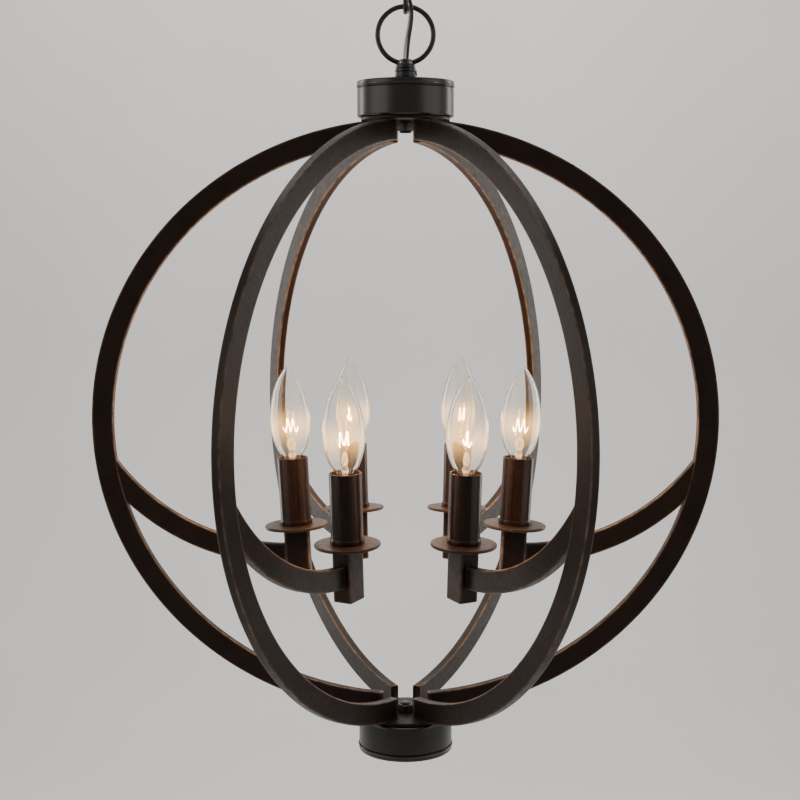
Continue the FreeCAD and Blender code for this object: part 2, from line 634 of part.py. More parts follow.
nipple_blank = turned("CandleNippleBlank", ring_corners(
    "nipple_bore / 2", "nipple_diameter / 2", "post_top - candle_nipple_sunk",
    "post_top - candle_nipple_sunk + candle_nipple_length"))
drip_blank = turned("DripBlank", [
    ("tube_hole", "0 - drip_web"),
    ("drip_diameter / 2 - drip_web", "0 - drip_web"),
    ("drip_diameter / 2 - drip_web", "0 - drip_web - drip_lip"),
    ("drip_diameter / 2 - drip_web * 0.3", "0 - drip_web - drip_lip"),
    ("drip_diameter / 2", "0 - drip_web * 0.5"),
    ("drip_diameter / 2 - 0.4", "0"),
    ("tube_hole", "0")])
sleeve_blank = turned("SleeveBlank", [
    ("sleeve_diameter / 2 - sleeve_wall", "0"),
    ("sleeve_diameter / 2 + sleeve_foot_step", "0"),
    ("sleeve_diameter / 2 + sleeve_foot_step", "sleeve_foot_height - 0.5"),
    ("sleeve_diameter / 2", "sleeve_foot_height"),
    ("sleeve_diameter / 2", "sleeve_height"),
    ("sleeve_diameter / 2 - sleeve_wall", "sleeve_height")])
socket_blank = turned("SocketBlank", [
    ("tube_hole", "0"),
    ("socket_diameter / 2", "0"),
    ("socket_diameter / 2", "socket_height"),
    ("shell_outer + thread_clearance", "socket_height"),
    ("shell_outer + thread_clearance", "socket_floor"),
    ("nipple_bore / 2 - 0.8", "socket_floor"),
    ("nipple_bore / 2 - 0.8", "post_top - candle_nipple_sunk + candle_nipple_length + 0.3"),
    ("tube_hole", "post_top - candle_nipple_sunk + candle_nipple_length + 0.3")])
shell_blank = turned("ShellBlank", [
    ("0", "socket_floor"),
    ("shell_outer", "socket_floor"),
    ("shell_outer", "socket_height - 1"),
    ("shell_inner", "socket_height - 1"),
    ("shell_inner", "socket_floor + shell_wall"),
    ("0", "socket_floor + shell_wall")])
doc.recompute()
for node, blank in (("candle_posts", post_blank), ("candle_nipples", nipple_blank), ("drip_plates", drip_blank),
                    ("candle_sleeves", sleeve_blank), ("lamp_sockets", socket_blank),
                    ("socket_shells", shell_blank)):
    shaped(node, copies(blank.Shape, candle_places))


# --------------------------------------------------------------------------- lamps
# The glass from its neck to its tip, as parts of its height and of its largest radius.
GLASS_CURVE = [(0.073, 0.46), (0.134, 0.648), (0.237, 0.862), (0.44, 1.0), (0.62, 0.92),
               (0.77, 0.73), (0.88, 0.48), (0.95, 0.25), (0.985, 0.11)]


def glass_outline(inset):
    """Half outline of the candle-shaped glass: neck, belly and drawn-out tip."""
    belly = mm("glass_diameter") / 2
    tall = mm("glass_height")
    points = [Vector(mm("cap_diameter") / 2 - 0.6 - inset, 0, 0)]
    for up, out in GLASS_CURVE:
        points.append(Vector(belly * out - inset * (1 - 0.6 * up ** 8), 0, tall * up - inset * up ** 4))
    points.append(Vector(0, 0, tall - inset))
    curve = Part.BSplineCurve()
    curve.interpolate(points)
    return curve.toShape(), points[0], points[-1]


def glass_shape():
    """A thin shell of revolution between two such outlines, open at the neck."""
    outer, outer_neck, outer_tip = glass_outline(0)
    inner, inner_neck, inner_tip = glass_outline(mm("glass_wall"))
    rim = Part.LineSegment(inner_neck, outer_neck).toShape()
    pole = Part.LineSegment(outer_tip, inner_tip).toShape()
    section = Part.Face(Part.Wire(Part.__sortEdges__([rim, outer, pole, inner])))
    shell = section.revolve(Vector(0, 0, 0), Vector(0, 0, 1), 360)
    return shell.Solids[0] if shell.Solids else shell


base_blank = turned("LampBaseBlank", [
    ("0", "0 - cap_height - contact_height"),
    ("2.4", "0 - cap_height - contact_height"),
    ("2.6", "1.2 - cap_height - contact_height"),
    ("cap_diameter / 2 - 1.6", "0 - cap_height"),
    ("cap_diameter / 2", "1 - cap_height"),
    ("cap_diameter / 2", "0"),
    ("0", "0")])
stem_blank = turned("LampStemBlank", [
    ("0", "0"),
    ("cap_diameter / 2 - 2.6", "0"),
    ("2.4", "glass_height * 0.12"),
    ("1.6", "glass_height * 0.30"),
    ("0", "glass_height * 0.32")])
doc.recompute()
glass_blank = glass_shape()
lamp_blank = Part.makeCompound([base_blank.Shape, stem_blank.Shape.translated(Vector(0, 0, 0.01))])
for number, place in enumerate(candle_places, 1):
    seat = place.multiply(Placement(Vector(0, 0, mm("cap_top")), Rotation()))
    shaped(f"bulb_glass_{number}", glass_blank.translated(Vector(0, 0, 0.01)), seat)
    shaped(f"bulb_base_{number}", lamp_blank, seat)


# --------------------------------------------------------------------------- leads
def rounded_path(points):
    """Straight runs joined by tangent arcs as large as the two runs allow."""
    edges = []
    radii = []
    start = points[0]
    for before, corner, after in zip(points, points[1:], points[2:]):
        back = before - corner
        onward = after - corner
        half_turn = (math.pi - back.getAngle(onward)) / 2
        reach = 0.45 * min(back.Length, onward.Length)
        first = corner + Vector(back).normalize() * reach
        last = corner + Vector(onward).normalize() * reach
        inside = (Vector(back).normalize() + Vector(onward).normalize()).normalize()
        radius = reach / math.tan(half_turn)
        middle = corner + inside * (radius / math.cos(half_turn) - radius)
        edges.append(Part.LineSegment(start, first).toShape())
        edges.append(Part.Arc(first, middle, last).toShape())
        radii.append(radius)
        start = last
    edges.append(Part.LineSegment(start, points[-1]).toShape())
    return Part.Wire(edges), radii


def tube_along(points, diameter, name):
    """A round tube on such a path; prints its length and radii and checks its volume."""
    path, radii = rounded_path(points)
    first = points[0]
    section = Part.Wire(Part.Circle(first, points[1] - first, diameter / 2).toShape())
    tube = path.makePipeShell([section], True, False)
    expected = math.pi * diameter ** 2 / 4 * path.Length
    if abs(tube.Volume / expected - 1) > 0.01:
        raise RuntimeError(f"{name}: volume {tube.Volume:.1f}, expected {expected:.1f}")
    print(f"{name}: length {path.Length:.0f} mm, radii", " ".join(f"{radius:.1f}" for radius in radii))
    return tube


def in_post(x, z):
    """A point of the post, given from the arm's middle, in the plane of a rib."""
    return arm_middle + lean.multVec(Vector(x, 0, z))


def branch_route():
    """From the terminal block down a rib, along its arm and up the post to the socket."""
    hub_z = mm("top_cup_base") + mm("hub_wall") + mm("block_height") * 0.5 - mm("orb_centre")
    middle_width = (mm("orb_width") - depth) / 2
    middle_height = (mm("orb_height") - depth) / 2
    route = [Vector(mm("lead_hole_radius"), 0, hub_z), Vector(mm("lead_hole_radius") + 0.3, 0, flat - depth * 0.4)]
    rib_turns = [math.radians(angle) for angle in (80, 68, 54, 40, 26, 12, 0, -10)]
    for turn in rib_turns:
        route.append(Vector(middle_width * math.cos(turn), 0, middle_height * math.sin(turn)))
    bend = mm("arm_bend_radius") + depth / 2
    arm_turns = [math.radians(angle) for angle in (-48, -58, -69, -80)]
    for turn in arm_turns:
        route.append(Vector(mm("arm_bend_offset") + bend * math.cos(turn), 0, bend_height + bend * math.sin(turn)))
    route.append(in_post(0.3, 0.2))
    route.append(in_post(0, mm("post_rise") - 2))
    return route


branch = tube_along(branch_route(), mm("branch_diameter"), "branch lead")
top_of_post = in_post(0, mm("post_rise") - 2)
straight_up = Part.makeCylinder(mm("branch_diameter") / 2, mm("socket_floor") + 2, top_of_post,
                                lean.multVec(Vector(0, 0, 1)))
branch = branch.fuse(straight_up).removeSplitter().Solids[0]
shaped("branch_leads", copies(branch, [
    Placement(Vector(0, 0, mm("orb_centre")), Rotation(Vector(0, 0, 1), angle)) for angle in rib_angles]))


def weave(inner):
    """One strand's route from ceiling to hub: a quarter turn round the chain at each link.

    At a pivot it passes diagonally beside the two crossing wires, and halfway down each link
    it passes through the link. The inner strand runs closer to the chain's middle.
    """
    side = -1 if inner else 1
    tube = side * mm("strand_spacing") / 2
    beside = mm("link_wire") / 2 + mm("strand_diameter") / 2 + (1.3 if inner else 3.3)
    through = 3.4 if inner else 6.1
    block_level = mm("top_cup_base") + mm("hub_wall") + mm("block_height") / 2
    middle_one = (mm("first_link_top") + mm("second_pivot")) / 2
    middle_two = (mm("second_link_top") + mm("third_pivot")) / 2
    return [
        Vector(-tube, 0, -mm("chain_gap") - 1),
        Vector(-tube, 0.01, mm("canopy_loop_base") - 1),
        Vector(-beside, beside, mm("first_pivot")),
        Vector(-through, 0, middle_one),
        Vector(-beside, -beside, mm("second_pivot")),
        Vector(0, -through, middle_two),
        Vector(beside, -beside, mm("third_pivot")),
        Vector(tube, -0.01, mm("loop_base_top") + 9),
        Vector(tube, 0, mm("loop_base_top") - 18),
        Vector(tube, 0.01, block_level),
        Vector(side * (mm("block_inner") / 2 + 2), 0, block_level)]


strands = [tube_along(weave(inner), mm("strand_diameter"), f"supply strand {name}")
           for inner, name in ((True, "inner"), (False, "outer"))]
cuts = [0, mm("first_pivot"), mm("second_pivot"), mm("third_pivot"), mm("top_seat")]
for node, high, low in zip(("supply_lead_canopy", "supply_lead_link_1", "supply_lead_link_2", "supply_lead_loop"),
                           cuts, cuts[1:]):
    slice_box = Part.makeBox(reach, reach, high - low, Vector(-reach / 2, -reach / 2, low))
    shaped(node, Part.makeCompound([strand.common(slice_box).Solids[0] for strand in strands]))

# ---------------------------------------------------------------------- check, export
doc.recompute()
for thing in doc.Objects:
    if "Invalid" in thing.State or "Error" in thing.State:
        raise RuntimeError(f"{thing.Label} failed: {thing.State}")
os.makedirs("parts", exist_ok=True)
for node, thing in nodes.items():
    shape = thing.Shape
    if shape.isNull() or not shape.isValid() or shape.Volume <= 0:
        raise RuntimeError(f"{node} has no valid shape")
for node, thing in nodes.items():
    thing.Shape.exportStep(f"parts/{node}.step")
print(len(nodes), "nodes")
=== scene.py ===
import math

import bmesh
import bpy
import numpy as np
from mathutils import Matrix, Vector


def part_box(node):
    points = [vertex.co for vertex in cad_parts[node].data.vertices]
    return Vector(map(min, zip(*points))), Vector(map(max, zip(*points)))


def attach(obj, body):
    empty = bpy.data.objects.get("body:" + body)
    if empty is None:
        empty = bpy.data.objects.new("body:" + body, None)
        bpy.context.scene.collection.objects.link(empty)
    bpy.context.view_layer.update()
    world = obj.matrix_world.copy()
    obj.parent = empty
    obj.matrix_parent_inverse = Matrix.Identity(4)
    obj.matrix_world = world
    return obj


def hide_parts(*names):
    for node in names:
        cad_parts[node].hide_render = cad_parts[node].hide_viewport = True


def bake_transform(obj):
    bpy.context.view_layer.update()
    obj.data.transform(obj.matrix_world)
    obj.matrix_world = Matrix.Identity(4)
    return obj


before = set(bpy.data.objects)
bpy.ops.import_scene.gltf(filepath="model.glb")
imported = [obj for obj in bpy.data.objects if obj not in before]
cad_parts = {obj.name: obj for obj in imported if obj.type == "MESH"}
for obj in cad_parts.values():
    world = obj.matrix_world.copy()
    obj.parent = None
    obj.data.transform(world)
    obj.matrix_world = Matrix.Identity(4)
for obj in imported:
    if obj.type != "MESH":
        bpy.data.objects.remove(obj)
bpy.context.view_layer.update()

# ---------------------------------------------------------------------------------------
# The room: a pale floor that curves up into a pale wall, far below and behind the light.
# A wide soft box stands at each side in front, a tall narrow one at each side behind, one
# hangs above and one lights the wall. The camera looks a little down at the cage.
cage_low, cage_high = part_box("rib_1")
cage_middle = (cage_low[2] + cage_high[2]) / 2

camera_distance, camera_rise, camera_tilt = 1.189, 0.1516, 0.112
camera = bpy.data.objects.new("camera", bpy.data.cameras.new("camera"))
bpy.context.scene.collection.objects.link(camera)
camera.location = (0, -camera_distance, cage_middle + camera_rise)
camera.rotation_euler = (math.pi / 2 - camera_tilt, 0, 0)
camera.data.sensor_width = 36
camera.data.lens = 67.5
camera.data.shift_x = -5.5 / 800
bpy.context.scene.camera = camera


def skin(grid, closed_along=False, closed_round=True, capped=False):
    """Points and faces of a surface: grid[i, j] is its point at step i along and j round.

    Each face joins (i, j), (i, j+1), (i+1, j+1) and (i+1, j); caps close the first and last ring.
    """
    rows, columns = grid.shape[:2]
    number = np.arange(rows * columns).reshape(rows, columns)
    if closed_round:
        number = np.concatenate([number, number[:, :1]], axis=1)
    if closed_along:
        number = np.concatenate([number, number[:1]], axis=0)
    corners = [number[:-1, :-1], number[:-1, 1:], number[1:, 1:], number[1:, :-1]]
    faces = np.stack(corners, axis=-1).reshape(-1, 4).tolist()
    if capped:
        last = (rows - 1) * columns
        faces += [list(range(columns))[::-1], list(range(last, last + columns))]
    return grid.reshape(-1, 3), faces


def made(name, parts, finish, body=None, crease=35, wear_and_painted_light=None):
    """One object in millimetres from (points, faces) parts, its doubles merged, faces outwards."""
    points, faces, start = [], [], 0
    for part_points, part_faces in parts:
        points.append(part_points)
        faces += [[start + corner for corner in face] for face in part_faces]
        start += len(part_points)
    mesh = bpy.data.meshes.new(name)
    mesh.from_pydata((np.concatenate(points) * 0.001).tolist(), [], faces)
    # The optional mask goes on as a point attribute. It carries wear and painted light: paler painted
    # corners, painted glow on glass and painted shade in grooves, as each material reads it.
    if wear_and_painted_light is not None:
        mesh.attributes.new("wear_and_painted_light", "FLOAT", "POINT").data.foreach_set("value", wear_and_painted_light.astype(np.float32))
    work = bmesh.new()
    work.from_mesh(mesh)
    bmesh.ops.remove_doubles(work, verts=work.verts, dist=2e-6)
    bmesh.ops.recalc_face_normals(work, faces=work.faces)
    work.to_mesh(mesh)
    work.free()
    mesh.shade_smooth()
    mesh.set_sharp_from_angle(angle=math.radians(crease))
    mesh.materials.append(finish)
    thing = bpy.data.objects.new(name, mesh)
    bpy.context.scene.collection.objects.link(thing)
    if body:
        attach(thing, body)
    return thing


def bare_finish(name, colour, roughness, metallic=0.0):
    """A Principled material with its plain sockets set; returns it, its node tree and shader."""
    finish = bpy.data.materials.new(name)
    finish.use_nodes = True
    shader = finish.node_tree.nodes["Principled BSDF"]
    shader.inputs["Base Color"].default_value = (*colour, 1)
    shader.inputs["Roughness"].default_value = roughness
    shader.inputs["Metallic"].default_value = metallic
    return finish, finish.node_tree, shader


def grain(tree, scale, detail, stretch=(1, 1, 1)):
    """Noise on the piece's own Object coordinates, finer along a stretched axis."""
    place = tree.nodes.new("ShaderNodeTexCoord")
    mapping = tree.nodes.new("ShaderNodeMapping")
    mapping.inputs["Scale"].default_value = stretch
    noise = tree.nodes.new("ShaderNodeTexNoise")
    noise.inputs["Scale"].default_value = scale
    noise.inputs["Detail"].default_value = detail
    tree.links.new(place.outputs["Object"], mapping.inputs["Vector"])
    tree.links.new(mapping.outputs["Vector"], noise.inputs["Vector"])
    return noise.outputs["Fac"]


def shades(tree, factor, *stops):
    """A colour ramp over a factor: each stop is a place from 0 to 1 and a colour."""
    ramp = tree.nodes.new("ShaderNodeValToRGB")
    for number, (place, colour) in enumerate(stops):
        stop = ramp.color_ramp.elements[number] if number < 2 else ramp.color_ramp.elements.new(place)
        stop.position = place
        stop.color = (*colour, 1)
    tree.links.new(factor, ramp.inputs["Fac"])
    return ramp.outputs["Color"]


floor_paint, tree, shader = bare_finish("pale_floor", (0.74, 0.73, 0.71), 0.7)
tree.links.new(shades(tree, grain(tree, 2.0, 4), (0.3, (0.72, 0.71, 0.69)), (0.7, (0.76, 0.75, 0.73))),
               shader.inputs["Base Color"])

# The sweep of the floor: flat at first, then a quarter circle, then straight up.
floor_reach, bend_start, bend_radius, wall_height, floor_depth = 9000, 1900, 900, 5200, 1450
turn = np.linspace(0, math.pi / 2, 24)
sweep_y = np.concatenate([[-floor_reach], bend_start + bend_radius * np.sin(turn),
                          [bend_start + bend_radius]])
sweep_z = np.concatenate([[0], bend_radius - bend_radius * np.cos(turn), [wall_height]]) - floor_depth
across = np.linspace(-floor_reach, floor_reach, 3)
floor = made("floor", [skin(np.stack(np.broadcast_arrays(
    across[None, :], sweep_y[:, None], sweep_z[:, None]), axis=-1), closed_round=False)], floor_paint)

world = bpy.data.worlds.new("studio")
world.use_nodes = True
world.node_tree.nodes["Background"].inputs["Color"].default_value = (0.80, 0.82, 0.86, 1)
world.node_tree.nodes["Background"].inputs["Strength"].default_value = 0.32
bpy.context.scene.world = world


def soft_box(name, place, aim, width, height, watts, colour):
    """A rectangular studio light at a place, turned to its aim."""
    lamp = bpy.data.lights.new(name, "AREA")
    lamp.shape = "RECTANGLE"
    lamp.size, lamp.size_y = width, height
    lamp.energy, lamp.color = watts, colour
    light = bpy.data.objects.new(name, lamp)
    light.location = place
    away = np.array(aim) - np.array(place)
    flat = math.hypot(away[0], away[1])
    light.rotation_euler = (math.atan2(flat, -away[2]), 0, math.atan2(away[1], away[0]) - math.pi / 2)
    bpy.context.scene.collection.objects.link(light)


aim = (0, 0, cage_middle)
soft_box("soft_box_left", (-1.75, -0.80, cage_middle + 0.45), aim, 1.7, 1.7, 10, (1.0, 0.96, 0.91))
soft_box("soft_box_right", (1.75, -0.80, cage_middle + 0.35), aim, 1.7, 1.7, 8, (1.0, 0.97, 0.94))
soft_box("rim_light_left", (-1.55, 1.15, cage_middle + 0.2), aim, 0.4, 1.7, 11, (1.0, 0.98, 0.95))
soft_box("rim_light_right", (1.55, 1.15, cage_middle + 0.2), aim, 0.4, 1.7, 10, (1.0, 0.98, 0.95))
soft_box("soft_box_above", (0, -0.3, 1.3), aim, 1.8, 1.4, 3, (1.0, 0.98, 0.95))
soft_box("wall_light", (0, 0.8, 1.5), (0, 3.0, -0.6), 2.6, 0.9, 70, (1.0, 0.99, 0.97))


# ---------------------------------------------------------------------------------------
# Ceiling fitting: a pressed steel crossbar on two ceiling screws, a threaded tube and nut,
# the spun canopy that a collar holds up, and a cast ring screwed on the tube's end.
# All but the zinc-plated bar, tube and nut are powder-coated dark bronze.
def spread(tree, factor, low, high):
    """A factor of 0.3 to 0.7 spread over low to high."""
    node = tree.nodes.new("ShaderNodeMapRange")
    for socket, value in (("From Min", 0.3), ("From Max", 0.7), ("To Min", low), ("To Max", high)):
        node.inputs[socket].default_value = value
    tree.links.new(factor, node.inputs["Value"])
    return node.outputs["Result"]


def raised(tree, shader, factor, height, strength=1.0):
    """Bump on a shader: the factor times a height in metres."""
    node = tree.nodes.new("ShaderNodeBump")
    node.inputs["Distance"].default_value = height
    node.inputs["Strength"].default_value = strength
    tree.links.new(factor, node.inputs["Height"])
    tree.links.new(node.outputs["Normal"], shader.inputs["Normal"])


def bronze_paint(name, dark, light, wear_and_highlight, roughness, vary, pimple, shine, tint):
    """Powder coat: two browns in soft clouds, paler where the mesh's mask attribute is high; that paler
    colour is partly wear of the coat, partly a painted highlight on the corners.
    """
    finish, tree, shader = bare_finish(name, dark, roughness)
    cloud = grain(tree, 45, 8)
    speck = grain(tree, 620, 6)
    body_colour = shades(tree, cloud, (0.32, dark), (0.68, light))
    edge = tree.nodes.new("ShaderNodeAttribute")
    edge.attribute_name = "wear_and_painted_light"
    patch = tree.nodes.new("ShaderNodeMath")
    patch.operation = "MULTIPLY"
    tree.links.new(edge.outputs["Fac"], patch.inputs[0])
    tree.links.new(spread(tree, grain(tree, 120, 5), 0.15, 0.9), patch.inputs[1])
    mix = tree.nodes.new("ShaderNodeMix")
    mix.data_type = "RGBA"
    tree.links.new(patch.outputs[0], mix.inputs["Factor"])
    tree.links.new(body_colour, mix.inputs["A"])
    mix.inputs["B"].default_value = (*wear_and_highlight, 1)
    tree.links.new(mix.outputs["Result"], shader.inputs["Base Color"])
    tree.links.new(spread(tree, grain(tree, 260, 6), roughness - vary, roughness + vary),
                   shader.inputs["Roughness"])
    raised(tree, shader, speck, pimple)
    shader.inputs["Specular IOR Level"].default_value = shine
    shader.inputs["Specular Tint"].default_value = (*tint, 1)
    return finish


bronze = bronze_paint("bronze_coat", dark=(0.0050, 0.0028, 0.0020), light=(0.0110, 0.0058, 0.0040),
                      wear_and_highlight=(0.17, 0.12, 0.09), roughness=0.42, vary=0.07, pimple=0.00022, shine=0.30,
                      tint=(1.0, 0.82, 0.70))
bronze_satin = bronze_paint("bronze_satin", dark=(0.0050, 0.0040, 0.0036), light=(0.0070, 0.0056, 0.0050),
                            wear_and_highlight=(0.055, 0.044, 0.038), roughness=0.31, vary=0.012, pimple=0.000003,
                            shine=0.70, tint=(1.0, 0.95, 0.91))

zinc, tree, shader = bare_finish("zinc_plate", (0.55, 0.55, 0.53), 0.34, 1.0)
tree.links.new(shades(tree, grain(tree, 220, 5), (0.3, (0.46, 0.46, 0.45)), (0.55, (0.60, 0.60, 0.58)),
                      (0.75, (0.66, 0.64, 0.56))), shader.inputs["Base Color"])
tree.links.new(spread(tree, grain(tree, 500, 4), 0.24, 0.46), shader.inputs["Roughness"])
raised(tree, shader, grain(tree, 900, 3), 0.00003)


def softened(corners, steps=5):
    """An outline whose corners (radius, height, softness) are each a short parabola.

    From a point one softness before the corner C to one after it: (1-t)^2 P + 2t(1-t) C + t^2 Q.
    """
    table = np.array(corners, float)
    corner, soft = table[:, :2], table[:, 2:]
    back = np.roll(corner, 1, axis=0) - corner
    onward = np.roll(corner, -1, axis=0) - corner
    back_length = np.linalg.norm(back, axis=1, keepdims=True)
    onward_length = np.linalg.norm(onward, axis=1, keepdims=True)
    reach = np.minimum(soft, 0.45 * np.minimum(back_length, onward_length))
    first = (corner + back / back_length * reach)[:, None]
    last = (corner + onward / onward_length * reach)[:, None]
    t = np.linspace(0, 1, steps)[None, :, None]
    return ((1 - t) ** 2 * first + 2 * t * (1 - t) * corner[:, None] + t ** 2 * last).reshape(-1, 2)


def round_grid(radius, turn, height):
    """Points (radius cos turn, radius sin turn, height) for each turn and each height."""
    return np.stack(np.broadcast_arrays(radius * np.cos(turn), radius * np.sin(turn), height), axis=-1)


def turned(outline, steps=96):
    """An outline of (radius, height) turned about the Z axis: closed, or from the axis to the axis."""
    turn = np.linspace(0, 2 * math.pi, steps, endpoint=False)[:, None]
    grid = round_grid(outline[None, :, 0], turn, outline[None, :, 1])
    return skin(grid, closed_along=True, closed_round=bool(outline[0, 0] > 0 or outline[-1, 0] > 0))


def millimetres(node):
    """A CAD node's lowest and highest corner in millimetres."""
    low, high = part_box(node)
    return np.array(low) * 1000, np.array(high) * 1000


def threaded(radius, bore, low, high, pitch=1.0, depth=0.5, steps=48):
    """A threaded tube: its outside is radius - depth (1 - cos(2 pi z / pitch - turn)) / 2.

    The thread fades out over the last half turn at each end, where the tube is chamfered.
    """
    turn = np.linspace(0, 2 * math.pi, steps, endpoint=False)[:, None]
    height = np.linspace(low, high, max(8, int((high - low) / pitch * 8)))[None, :]
    fade = np.clip(np.minimum(height - low, high - height) / (0.5 * pitch), 0, 1)
    outside = radius - depth * (1 - fade * np.cos(2 * math.pi * height / pitch - turn)) / 2
    inside = np.full((1, 2), bore)
    outside, inside = np.broadcast_to(outside, (steps, height.size)), np.broadcast_to(inside, (steps, 2))
    every_radius = np.concatenate([outside, inside], axis=1)
    every_height = np.concatenate([height[0], [high, low]])[None, :]
    return skin(round_grid(every_radius, turn, every_height), closed_along=True)


def hexagon_nut(across, bore, low, high):
    """A nut: at a turn t its flat is across / 2 / cos(t - nearest 60 degrees).

    The corners are cut back by a cone at both faces, as a real nut's are.
    """
    turn = np.linspace(0, 2 * math.pi, 96, endpoint=False)[:, None]
    nearest = (turn + math.pi / 6) % (math.pi / 3) - math.pi / 6
    flat = across / 2 / np.cos(nearest)
    height = np.array([low, low + 0.45, low + 0.9, high - 0.9, high - 0.45, high])[None, :]
    cone = across / 2 - 0.3 + np.minimum(height - low, high - height) * 1.7
    outside = np.minimum(flat, cone)
    bore_ring = np.broadcast_to([[bore + 0.5, bore, bore, bore + 0.5]], (96, 4))
    radius = np.concatenate([outside, bore_ring], axis=1)
    level = np.concatenate([height[0], [high, high - 0.5, low + 0.5, low]])[None, :]
    return skin(round_grid(radius, turn, level), closed_along=True)


low, high = millimetres("bracket_nut")
nut = made("crossbar_nut", [hexagon_nut(14, 5.1, low[2], high[2])], zinc, "ceiling_fitting", 25)
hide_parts("bracket_nut")
low, high = millimetres("canopy_nipple")
tube = made("canopy_tube", [threaded(5, 3.8, low[2], high[2])], zinc, "ceiling_fitting", 50)
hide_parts("canopy_nipple")


def finished(node, finish):
    """A CAD node that stays as it is, in its own material."""
    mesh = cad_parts[node].data
    mesh.materials.clear()
    mesh.materials.append(finish)


finished("ceiling_bracket", zinc)

# The dish: a flat floor, a swept shoulder and an upright rolled rim, all of one thickness.
low, high = millimetres("canopy")
rim = 59.98
dish = turned(softened([(5.2, low[2], 0.2), (36, low[2], 8), (59, -9.1, 3), (rim, -7.3, 3), (rim, -0.05, 0.5),
                        (rim - 1, -0.05, 0.4), (rim - 1, -7.4, 3), (58, -8.6, 2), (35.6, low[2] + 1, 8),
                        (5.2, low[2] + 1, 0.2)], 9), 128)
dish = made("canopy_dish", [dish], bronze_satin, "ceiling_fitting", 40)
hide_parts("canopy")
low, high = millimetres("canopy_collar")
flared = turned(softened([(5.2, low[2], 0.3), (8.5, low[2], 0.6), (10, low[2] + 1.5, 0.6), (10, high[2], 0.4),
                          (5.2, high[2], 0.2)]), 192)
collar = made("canopy_collar_ring", [flared], bronze_satin, "ceiling_fitting", 40)
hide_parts("canopy_collar")


def ring_on_base(diameter, wire, centre, base_radius, base_low, base_high, bore, quarter, up):
    """A cast ring on its round base, which swells towards the ring.

    Ring: centre + (R + w cos b)(cos a, sin a) in its plane and w sin b across it.
    """
    around = np.linspace(0, 2 * math.pi, 128, endpoint=False)[:, None]
    tube = np.linspace(0, 2 * math.pi, 24, endpoint=False)[None, :]
    middle = (diameter - wire) / 2
    radius = middle + wire / 2 * np.cos(tube)
    flat, across = radius * np.cos(around), wire / 2 * np.sin(tube) + 0 * around
    rise = centre + radius * np.sin(around)
    x, y = (across, flat) if quarter else (flat, across)
    ring = skin(np.stack([x, y, rise], axis=-1), closed_along=True)
    near, far = (base_low, base_high) if up else (base_high, base_low)
    sign = 1 if up else -1
    base = turned(softened([
        (bore, near, 0.2), (base_radius, near, 0.7), (base_radius, near + 3.1 * sign, 1.2),
        (base_radius - 1.4, near + 4.6 * sign, 1.2), (base_radius - 3.2, far, 1.4), (bore, far, 0.4)], 7), 72)
    return [ring, base]


low, high = millimetres("canopy_loop")
canopy_eye = ring_on_base(diameter=34, wire=4, centre=low[2] + 17, base_radius=7.75, base_low=low[2] + 30,
                          base_high=high[2], bore=3.8, quarter=True, up=False)
ring = made("canopy_ring", canopy_eye, bronze_satin, "ceiling_fitting", 40)
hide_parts("canopy_loop")

# ---------------------------------------------------------------------------------------
# Chain: oval links bent from 4 mm steel wire, butt-welded in the middle of one side, so a
# slight bead shows there, then coated dark bronze like the ring they hang on.
link_width, wire_radius = 25, 2.0
bend = link_width / 2 - wire_radius
for node, body, across_x in (("chain_link_1", "upper_link", True), ("chain_link_2", "lower_link", False)):
    low, high = millimetres(node)
    straight = (high[2] - low[2]) - link_width
    # Round the link: up the plain side, over a half circle, down the welded side, half circle.
    half_round = np.linspace(0, math.pi, 33)
    run = np.linspace(-straight / 2, straight / 2, 15)[:-1]
    path_x = np.concatenate([np.full(14, bend), bend * np.cos(half_round), np.full(13, -bend),
                             -bend * np.cos(half_round)[:-1]])
    path_z = np.concatenate([run, straight / 2 + bend * np.sin(half_round), run[::-1][:-1],
                             -straight / 2 - bend * np.sin(half_round)[:-1]])
    out_x = np.concatenate([np.ones(14), np.cos(half_round), -np.ones(13), -np.cos(half_round)[:-1]])
    out_z = np.concatenate([np.zeros(14), np.sin(half_round), np.zeros(13), -np.sin(half_round)[:-1]])
    tube = np.linspace(0, 2 * math.pi, 24, endpoint=False)[None, :]
    bead = wire_radius + 0.22 * np.exp(-((path_z / 0.8) ** 2)) * (path_x < 0) - 0.02
    ring = bead[:, None] * np.cos(tube)
    flat = path_x[:, None] + out_x[:, None] * ring
    rise = path_z[:, None] + out_z[:, None] * ring + (low[2] + high[2]) / 2
    side = bead[:, None] * np.sin(tube)
    x, y = (flat, side) if across_x else (side, flat)
    wire = skin(np.stack([x, y, rise], axis=-1), closed_along=True)
    link = made(node + "_wire", [wire], bronze_satin, body, 60)
    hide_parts(node)

# ---------------------------------------------------------------------------------------
# Supply lead: two thin strands that wind once through canopy ring, chain and hanging ring.
# One is stranded copper, tinned, in clear plastic; the other is in dark brown plastic.
# Each strand is three lengths that meet in the middle of a link.
tinned, tree, shader = bare_finish("clear_strand", (0.62, 0.60, 0.56), 0.22, 0.55)
lay_with_painted_shade = tree.nodes.new("ShaderNodeAttribute")
lay_with_painted_shade.attribute_name = "wear_and_painted_light"
